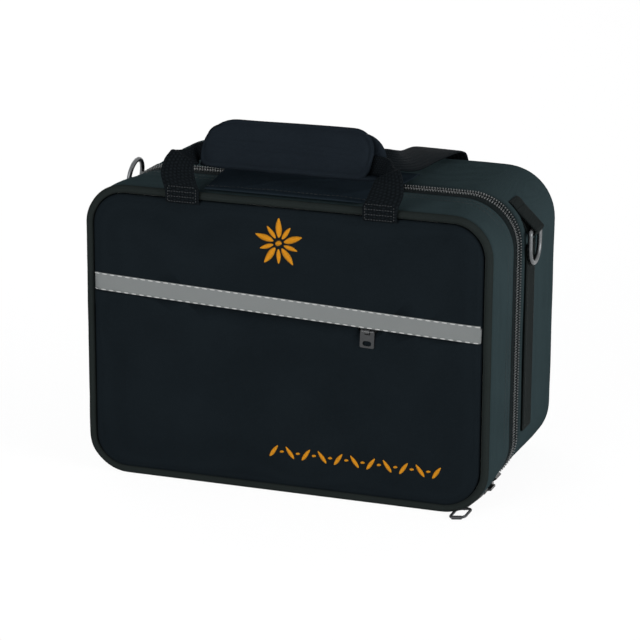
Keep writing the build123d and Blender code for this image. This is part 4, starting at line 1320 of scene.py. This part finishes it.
class CASE_OT_rear_handle(bpy.types.Operator):
    """Rear handle webbing: sewn to the back, over the top and along the back of the grip"""

    bl_idname = "case.rear_handle"
    bl_label = "Rear Handle Webbing"

    def execute(self, context):
        bar = grip_point(16.3, 14.25)
        flat, sewn_y = tipped(1, 0), REAR_Y + 1.6
        full, thick = WEBBING_WIDTH, WEBBING_THICK
        low = node_box("rear_handle_tabs")[0].z
        stations = [
            ((-SEWN_REAR_X, sewn_y, low), flat, full, 1.5),
            ((-SEWN_REAR_X, sewn_y + 0.1, low + 3), flat, full, thick),
            ((-SEWN_REAR_X, sewn_y + 0.1, low + 30), flat, full, thick),
            ((-69.0, REAR_Y + 1.0, HEIGHT - 1.6), flat, full, thick),
            ((-67.5, REAR_Y - 1.5, HEIGHT + 3.2), flat, full - 0.5, thick),
            ((-65.5, REAR_Y - 12.5, HEIGHT + 6.0), tipped(0.9976, 0.0698), full - 2, thick),
            ((-64.0, REAR_Y - 45.0, HEIGHT + 10.5), tipped(0.9135, 0.4067), 21.0, thick),
            ((-65.0, bar.y + 54.0, HEIGHT + 15.0), tipped(0.6691, 0.7431), 18.0, 2.4),
            ((-65.5, bar.y + 20.0, HEIGHT + 23.0), UP, ROLL_WIDTH + 2, 3.0),
            ((-62.5, bar.y + 6.4, HEIGHT + 27.5), UP, ROLL_WIDTH, ROLL_THICK),
            ((-52.0, bar.y, bar.z), GRIP_UP, ROLL_WIDTH, ROLL_THICK),
            ((-30.0, bar.y, bar.z), GRIP_UP, ROLL_WIDTH, ROLL_THICK),
        ]
        tabs_and_loop = ["rear_handle_tabs", "rear_handle_loop"]
        strap = ribbon(both_legs(stations), 7)
        webbing = add_piece(strap, "rear_webbing", None, "handle_webbing", tabs_and_loop)
        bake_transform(webbing)
        places = []
        low_z, high_z, y = low + 3, low + 32, sewn_y + 1.05
        for side in (-SEWN_REAR_X, SEWN_REAR_X):
            middle_x = HANDLE_X + side
            places += box_stitches(middle_x, low_z, high_z, y, BACK, 2)
            for lean in (-BOX_HALF, BOX_HALF):
                points = [Vector((middle_x - lean, y, low_z)), Vector((middle_x + lean, y, high_z))]
                places += stitch_line(points, [BACK, BACK], CROSS_PITCH, *CROSS_STITCH)
        add_piece(beads(places), "rear_webbing_stitches", "rear_half", "grey_thread")
        return {"FINISHED"}


# Soft creases of the grip: place along it, slant, width and depth
GRIP_CREASES = (
    (-38.0, 0.2, 3.0, 0.9), (-14.0, -0.15, 2.2, 0.8), (-2.0, 0.1, 2.6, 0.7), (24.0, 0.3, 3.2, 0.9),
)
FRONT_FLAP_TAPER = 0.1
FRONT_FLAP_LIFT = 1.5
FRONT_FLAP_WANDER = (1.3, 22.0)
REAR_FLAP_WANDER = (1.0, 24.0)
FOLD_WANDER = (0.4, 20.0)
# Height on the grip at which the creases are deepest, and how far they reach up and down from there
CREASE_HEIGHT = 13.0
CREASE_REACH = 11.0
# The fold's section: its middle back and up in the grip, and its reach each way
FOLD_MIDDLE = (7.0, 2.4)
FOLD_REACH = (7.0, 2.5)
# Rings of the two flaps, as inset and thickness: a pressed edge at the front, a bound edge at the back
FRONT_FLAP_RINGS = (
    (14.0, -1.9), (10.0, -1.8), (6.5, -1.4), (4.2, -0.8), (3.2, -0.2), (2.7, 0.15), (2.2, -0.1),
    (1.4, -0.35), (0.6, -0.1), (0.1, 0.7), (0.0, 1.7), (0.15, 2.9), (0.8, 3.8), (2.4, 4.3), (6.0, 4.5),
    (14.0, 4.6),
)
REAR_FLAP_RINGS = (
    (15.0, 0.0), (10.0, -0.05), (5.0, 0.1), (2.0, 0.3), (0.7, 0.7), (0.0, 1.9), (0.3, 3.1), (1.2, 3.8),
    (2.2, 3.5), (2.9, 3.2), (4.0, 3.9), (7.0, 4.6), (10.0, 5.0), (15.0, 5.1),
)


class CASE_OT_grip(bpy.types.Operator):
    """Padded grip: a front flap and a rear flap with a bound edge, folded under the webbing"""

    bl_idname = "case.grip"
    bl_label = "Padded Grip"

    def execute(self, context):
        self.front_flap()
        self.rear_flap()
        self.fold_roll()
        return {"FINISHED"}

    def front_flap(self):
        """The flap that folds over the webbing from the front."""
        border = (GRIP_LENGTH - 2.0, GRIP_HEIGHT + 1.8, [6.0, GRIP_CORNER + 3, GRIP_CORNER + 12, 4.0])

        def place(x, v, u):
            taper = FRONT_FLAP_TAPER * (1 - v / border[1]) if x > 0 else 0.0
            point = grip_point(u, v + FRONT_FLAP_LIFT, GRIP_MIDDLE_X + x * (1 - taper))
            sag = 0.8 * math.sin((x + 20) / 42) + wander((x, v, u), *FRONT_FLAP_WANDER)
            for at, slant, width, depth in GRIP_CREASES:
                sag += depth * hump(x - at - slant * v, width) * hump(v - CREASE_HEIGHT, CREASE_REACH)
            return point + GRIP_BACK * sag * 0.5 + GRIP_UP * (0.35 * math.sin(x / 23) * v / GRIP_HEIGHT)

        bm = pillow(border, GRIP_SEGMENTS, FRONT_FLAP_RINGS, place)
        front = add_piece(bm, "grip_front_flap", None, "grip_cloth", ["grip_flap"])
        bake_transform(front)

    def rear_flap(self):
        """The flap with the bound edge, behind the webbing."""
        border = (GRIP_LENGTH + 5.0, GRIP_HEIGHT, [4.0, GRIP_CORNER + 2, GRIP_CORNER + 9, 4.0])

        def place(x, v, u):
            lean = 9.9 - 5.2 * max(v - 12.0, 0.0) / 21.0
            fold = min(v / 5.0, 1.0)
            point = grip_point(lean + u * (0.6 + 0.4 * fold), v + 0.3, GRIP_MIDDLE_X + x)
            return point + GRIP_BACK * wander((x, v, u + 40), *REAR_FLAP_WANDER) * fold

        bm = pillow(border, GRIP_SEGMENTS, REAR_FLAP_RINGS, place)
        rear = add_piece(bm, "grip_rear_flap", "front_handle", "grip_cloth", ["grip_pad"])

    def fold_roll(self):
        """The fold under the webbing that joins the two flaps."""
        half, columns, around = GRIP_LENGTH / 2, 44, 16

        def place(i, j):
            turn = math.tau * j / around
            x = -half + GRIP_LENGTH * i / columns
            swell = 1.0 - 0.35 * abs(x / half) ** 10
            u = FOLD_MIDDLE[0] + FOLD_REACH[0] * math.cos(turn) * swell
            v = FOLD_MIDDLE[1] + FOLD_REACH[1] * math.sin(turn) * swell
            return grip_point(u, v, GRIP_MIDDLE_X + x) + GRIP_UP * wander((x, 0, turn), *FOLD_WANDER)

        bm = cloth_grid(columns, around, place)
        close_ends(bm)
        roll = add_piece(bm, "grip_fold", "front_handle", "grip_cloth")


# The strap down each side, and the stitches inside its edges
STRAP_STAND = 1.15
STRAP_FORWARD = 0.9
STRAP_WIDER = 1.8
STRAP_STEPS = 12
STRAP_STITCH_INSET = 1.6
STRAP_STITCH = (2.4, 0.5, 0.4)
# The ring's tab: its line over the corner in degrees and stand, round the ring's bar, and its tucked end
TAB_CORNER = ((50.0, 0.2), (46.0, 1.0), (42.0, 1.0), (39.0, 1.0), (37.0, 1.0))
TAB_LOOP_TURNS = (35.0, 0.0, -40.0, -80.0, -120.0, -150.0)
TAB_LOOP_RADIUS = 2.95
TAB_TUCKED = ((-6.0, 5.0, 1.4), (-9.6, 10.0, 1.2))
TAB_THICK = 1.5
RING_BAR = (WIDTH / 2 + 4.0, HEIGHT - 28.5)


def turned_out(middle, radius, degrees):
    """A point at a distance from a middle, in a direction given in degrees."""
    turn = math.radians(degrees)
    return middle[0] + radius * math.cos(turn), middle[1] + radius * math.sin(turn)


class CASE_OT_side_straps(bpy.types.Operator):
    """Webbing sewn down each side, the ring tabs and the strap rings"""

    bl_idname = "case.side_straps"
    bl_label = "Side Straps and Rings"

    def execute(self, context):
        for side, name in ((-1, "left"), (1, "right")):
            low, high = node_box("side_strap_" + name)
            middle_y, width = (low.y + high.y) / 2, high.y - low.y
            self.sew_strap(side, name, low, high, middle_y, width)
            self.fold_tab(side, name, middle_y, width)
            refinish("ring_steel", "d_ring_" + name)
        return {"FINISHED"}

    def fold_tab(self, side, name, middle_y, width):
        """The tab over the corner that holds the ring."""
        radius = size_of("corner_radius")
        corner = (WIDTH / 2 - radius, HEIGHT - radius)
        line = [(*turned_out(corner, radius + stand, turn), TAB_THICK) for turn, stand in TAB_CORNER]
        line += [(*turned_out(RING_BAR, TAB_LOOP_RADIUS, turn), TAB_THICK) for turn in TAB_LOOP_TURNS]
        line += [(RING_BAR[0] + x, RING_BAR[1] + z, thick) for x, z, thick in TAB_TUCKED]
        tab = ribbon([((side * x, middle_y, z), BACK, width, thick) for x, z, thick in line], 4)
        add_piece(tab, "ring_tab_" + name, "rear_half", "side_webbing", ["d_ring_tab_" + name])

    def sew_strap(self, side, name, low, high, middle_y, width):
        """The strap down one side, and two rows of stitches."""
        stations = []
        for step in range(STRAP_STEPS + 1):
            z = low.z + (high.z - low.z) * step / STRAP_STEPS
            place = (side * (WIDTH / 2 + STRAP_STAND), middle_y - STRAP_FORWARD, z)
            stations.append((place, BACK, width + STRAP_WIDER, 1.6))
        strap, replaced = ribbon(stations, 3), ["side_strap_" + name]
        add_piece(strap, "side_webbing_" + name, "rear_half", "side_webbing", replaced)
        places = []
        x, out = side * (WIDTH / 2 + STRAP_STAND + 0.9), Vector((side, 0, 0))
        for edge in (-width / 2 + STRAP_STITCH_INSET, width / 2 - STRAP_STITCH_INSET):
            points = [Vector((x, middle_y + edge, z)) for z in (low.z + 2, high.z - 2)]
            places += stitch_line(points, [out, out], size_of("stitch_pitch"), *STRAP_STITCH)
        add_piece(beads(places), "side_stitches_" + name, "rear_half", "dark_thread")


class CASE_OT_sliders(bpy.types.Operator):
    """Main slider, its puller and its moulded pull tab"""

    bl_idname = "case.sliders"
    bl_label = "Main Slider"

    def execute(self, context):
        refinish("black_metal", "main_zip_slider", "main_zip_puller")
        refinish("soft_plastic", "main_zip_pull_tab")
        return {"FINISHED"}


# Inside

# Profiles of depth and inset for the linings, from the rim to the middle of the wall behind
LID_LINING = (
    (-19.4, 11.6), (-19.3, 12.6), (-20.2, 13.2), (-30.0, 13.3), (-50.0, 13.3), (-65.0, 13.3), (-69.0, 14.0),
    (-70.4, 16.5), (-70.7, 21.0), (-70.7, 35.0), (-70.7, 60.0), (-70.7, 92.0),
)
REAR_LINING = (
    (-16.6, 11.6), (-16.7, 12.6), (-15.8, 13.2), (0.0, 13.2), (30.0, 13.2), (60.0, 13.2), (70.0, 13.6),
    (73.6, 16.5), (74.3, 21.0), (74.3, 40.0), (74.3, 70.0), (74.3, 92.0),
)
# The binding's section: distance behind the rim, and inset
RIM_SECTION = (
    (1.6, 1.3), (0.5, 1.5), (0.15, 2.4), (0.05, 3.4), (0.0, 4.6), (-0.05, 8.0), (0.0, 11.6), (0.25, 12.8),
    (0.9, 13.1),
)
LID_PAD_RINGS = (
    (90.0, 0.0), (60.0, 0.0), (30.0, 0.05), (10.0, 0.1), (3.0, 0.6), (0.6, 2.6), (0.0, 6.0), (0.3, 9.5),
    (2.4, 12.2), (7.0, 13.3), (14.0, 13.8), (30.0, 14.4), (60.0, 14.9), (90.0, 15.0),
)
LID_PAD_CORNER = 20.0
# The pad's thickness as a share of its rings' thickness
LID_PAD_SHARE = 0.92
# Voxel size and rounds of smoothing for the cradle's foam
CRADLE_VOXEL = 4.0
CRADLE_ROUNDS = 6


def inner_wall(profile):
    """Cloth round the inside of the case along a profile of depths and insets."""

    def place(i, j):
        y, inset = profile[j]
        (x, z), _ = border_station(case_border(), inset, CASE_SEGMENTS, i)
        return Vector((x, y, z))

    return cloth_grid(CASE_COLUMNS, len(profile) - 1, place)


class CASE_OT_inside(bpy.types.Operator):
    """Inside of the case: linings, rim bindings, lid pad and instrument cradle"""

    bl_idname = "case.inside"
    bl_label = "Inside"

    def execute(self, context):
        linings = (("lid", "lid", LID_LINING, -55.0), ("rear", "rear_half", REAR_LINING, 30.0))
        for side, body, profile, middle_y in linings:
            bm = inner_wall(profile)
            close_near(bm, lambda point: edge_distance(point.x, point.z) > 60)
            face_away(bm, Vector((0, middle_y, HEIGHT / 2)), inward=True)
            lining = [side + "_lining"]
            add_piece(bm, side + "_plush", body, "plush", lining, wall=1.2)
        for side, body, rim_y, back in (("lid", "lid", LID_RIM_Y, -1), ("rear", "rear_half", REAR_RIM_Y, 1)):
            bm = inner_wall([(rim_y + back * depth, inset) for depth, inset in RIM_SECTION])
            face_away(bm, Vector((0, rim_y + back * 40, HEIGHT / 2)))
            rim = [side + "_rim_binding"]
            add_piece(bm, side + "_binding", body, "edge_binding", rim, wall=0.7, levels=1)
        foam = softened("instrument_cradle", CRADLE_VOXEL, CRADLE_ROUNDS)
        cradle = add_piece(foam, "plush_cradle", "rear_half", "plush", ["instrument_cradle"])
        low, high = node_box("lid_pad")
        border = (high.x - low.x - 0.6, high.z - low.z - 0.6, [LID_PAD_CORNER] * 4)

        def pad_place(x, z, thick):
            return Vector((x, low.y + 0.1 + thick * LID_PAD_SHARE, z + low.z + 0.3))

        bm = pillow(border, CASE_SEGMENTS, LID_PAD_RINGS, pad_place)
        pad = add_piece(bm, "plush_lid_pad", "lid", "plush", ["lid_pad"])
        refinish("foam_board", "lid_core", "rear_core")
        return {"FINISHED"}


# Stage

CAMERA_AZIMUTH = math.radians(19.405)
CAMERA_ELEVATION = math.radians(16.598)
CAMERA_ROLL = math.radians(0.350)
CAMERA_DISTANCE = 2.1608
CAMERA_TARGET = Vector((0, 0, 0.1))
# The lens and the offset of the view, in pixels of the photograph's width
CAMERA_PIXELS = 2962.1
CAMERA_OFFSET = (5.197, 5.820)
PHOTO_PIXELS = 640.0
SENSOR_WIDTH = 36.0
# Half the floor's width, and its height just under the case, in metres
FLOOR_HALF = 30.0
FLOOR_Z = -0.0002
# How much of the floor the camera sees through, down to an open lid, and the glow that keeps it white
FLOOR_CLEAR = 0.78
FLOOR_GLOW = 0.15
WORLD_LEVEL = 0.2
# Each lamp: its place in metres and its level. All are squares of the same size.
LAMP_SIZE = 1.5
LAMPS = (
    ("key_light", (2.5, -0.6, 0.55), 0.62),
    ("front_light", (-0.7, -2.5, 0.7), 0.42),
    ("back_light", (-1.7, 1.7, 0.8), 0.18),
)


class CASE_OT_stage(bpy.types.Operator):
    """Pale floor, soft lights and the camera at the photograph's angle"""

    bl_idname = "case.stage"
    bl_label = "Stage"

    def execute(self, context):
        scene = context.scene
        scene.view_settings.view_transform = "Standard"
        self.place_camera(scene)
        self.lay_floor(scene)
        self.light_world(scene)
        for name, place, level in LAMPS:
            self.add_lamp(scene, name, Vector(place), level)
        return {"FINISHED"}

    def place_camera(self, scene):
        """The camera at the photograph's place, looking at the target."""
        azimuth, elevation = CAMERA_AZIMUTH, CAMERA_ELEVATION
        flat = math.cos(elevation)
        back = Vector((math.sin(azimuth) * flat, -math.cos(azimuth) * flat, math.sin(elevation)))
        right = Vector((math.cos(azimuth), math.sin(azimuth), 0))
        up = back.cross(right)
        rolled_right = right * math.cos(CAMERA_ROLL) + up * math.sin(CAMERA_ROLL)
        rolled_up = up * math.cos(CAMERA_ROLL) - right * math.sin(CAMERA_ROLL)
        camera = bpy.data.objects.new("camera", bpy.data.cameras.new("camera"))
        camera.data.sensor_width = SENSOR_WIDTH
        camera.data.lens = CAMERA_PIXELS / PHOTO_PIXELS * SENSOR_WIDTH
        camera.data.shift_x = -CAMERA_OFFSET[0] / PHOTO_PIXELS
        camera.data.shift_y = CAMERA_OFFSET[1] / PHOTO_PIXELS
        turn = Matrix((rolled_right, rolled_up, back)).transposed().to_4x4()
        camera.matrix_world = Matrix.Translation(CAMERA_TARGET + back * CAMERA_DISTANCE) @ turn
        scene.collection.objects.link(camera)
        scene.camera = camera

    def lay_floor(self, scene):
        """A wide pale floor. The rays that see the background pass through most of it."""
        bm = bmesh.new()
        bmesh.ops.create_grid(bm, x_segments=1, y_segments=1, size=FLOOR_HALF)
        mesh = bpy.data.meshes.new("floor")
        bm.to_mesh(mesh)
        bm.free()
        floor = bpy.data.objects.new("floor", mesh)
        floor.location.z = FLOOR_Z
        scene.collection.objects.link(floor)
        material = bpy.data.materials.new("floor_paint")
        material.use_nodes = True
        tree = material.node_tree
        shader = tree.nodes["Principled BSDF"]
        shader.inputs["Base Color"].default_value = colour_of("floor")
        shader.inputs["Roughness"].default_value = 0.9
        shader.inputs["Specular IOR Level"].default_value = 0.0
        clear = node(tree, "ShaderNodeBsdfTransparent").outputs[0]
        shares = {0: self.seen_rays(tree, FLOOR_CLEAR), 1: shader.outputs[0], 2: clear}
        mixed = node(tree, "ShaderNodeMixShader", shares)
        light = {"Color": (1, 1, 1, 1), "Strength": self.seen_rays(tree, FLOOR_GLOW)}
        glow = node(tree, "ShaderNodeEmission", light)
        mixed = node(tree, "ShaderNodeAddShader", {0: mixed.outputs[0], 1: glow.outputs[0]})
        tree.links.new(mixed.outputs[0], tree.nodes["Material Output"].inputs["Surface"])
        material.cycles.emission_sampling = "NONE"
        mesh.materials.append(material)

    def seen_rays(self, tree, most):
        """A share for the rays that see the background: camera, glossy and transmission rays."""
        path = node(tree, "ShaderNodeLightPath")
        seen = maths(tree, "MAXIMUM", path.outputs["Is Camera Ray"], path.outputs["Is Glossy Ray"])
        seen = maths(tree, "MAXIMUM", seen, path.outputs["Is Transmission Ray"])
        return maths(tree, "MULTIPLY", seen, most)

    def light_world(self, scene):
        """A dim even light all round, and white where the background is seen."""
        world = scene.world or bpy.data.worlds.new("studio")
        scene.world = world
        world.use_nodes = True
        tree = world.node_tree
        tree.nodes.clear()
        soft = node(tree, "ShaderNodeBackground", {"Color": (0.95, 0.97, 1.0, 1), "Strength": WORLD_LEVEL})
        white = node(tree, "ShaderNodeBackground", {"Color": (1, 1, 1, 1), "Strength": 1.0})
        shares = {0: self.seen_rays(tree, 1.0), 1: soft.outputs[0], 2: white.outputs[0]}
        mixed = node(tree, "ShaderNodeMixShader", shares)
        out = node(tree, "ShaderNodeOutputWorld")
        tree.links.new(mixed.outputs[0], out.inputs["Surface"])

    def add_lamp(self, scene, name, place, level):
        """A square soft light that gives the case's middle that share of a plain level."""
        data = bpy.data.lights.new(name, "AREA")
        data.shape = "SQUARE"
        data.size = LAMP_SIZE
        lamp = bpy.data.objects.new(name, data)
        toward = CAMERA_TARGET - place
        data.energy = level * math.pi**2 * toward.length_squared
        lamp.location = place
        lamp.rotation_euler = toward.to_track_quat("-Z", "Y").to_euler()
        scene.collection.objects.link(lamp)


# The operators in the order in which they build the case
OPERATORS = (
    CASE_OT_stage,
    CASE_OT_rear_shell,
    CASE_OT_front_gusset,
    CASE_OT_front_plies,
    CASE_OT_piping_bead,
    CASE_OT_silver_tape,
    CASE_OT_motifs,
    CASE_OT_main_zip,
    CASE_OT_pocket_zip,
    CASE_OT_hinge_strip,
    CASE_OT_zip_flap,
    CASE_OT_front_handle,
    CASE_OT_rear_handle,
    CASE_OT_grip,
    CASE_OT_side_straps,
    CASE_OT_sliders,
    CASE_OT_inside,
)


class CASE_PT_builder(bpy.types.Panel):
    """Lists the steps that build the case"""

    bl_label = "Trumpet Case"
    bl_idname = "CASE_PT_builder"
    bl_space_type = "VIEW_3D"
    bl_region_type = "UI"
    bl_category = "Trumpet Case"

    def draw(self, context):
        layout = self.layout
        for group in (context.scene.case_sizes, context.scene.case_colours):
            box = layout.box()
            for name in group.__annotations__:
                box.prop(group, name)
        column = layout.column(align=True)
        for step in OPERATORS:
            column.operator(step.bl_idname)


CLASSES = (CaseSizes, CaseColours, *OPERATORS, CASE_PT_builder)


def register():
    for cls in CLASSES:
        bpy.utils.register_class(cls)
    bpy.types.Scene.case_sizes = PointerProperty(type=CaseSizes)
    bpy.types.Scene.case_colours = PointerProperty(type=CaseColours)


def unregister():
    del bpy.types.Scene.case_colours
    del bpy.types.Scene.case_sizes
    for cls in reversed(CLASSES):
        bpy.utils.unregister_class(cls)


def main():
    """Builds the case."""
    register()
    for step in OPERATORS:
        if getattr(bpy.ops.case, step.bl_idname.split(".")[1])() != {"FINISHED"}:
            raise RuntimeError("the step didn't finish: " + step.bl_label)


if __name__ == "__main__":
    main()
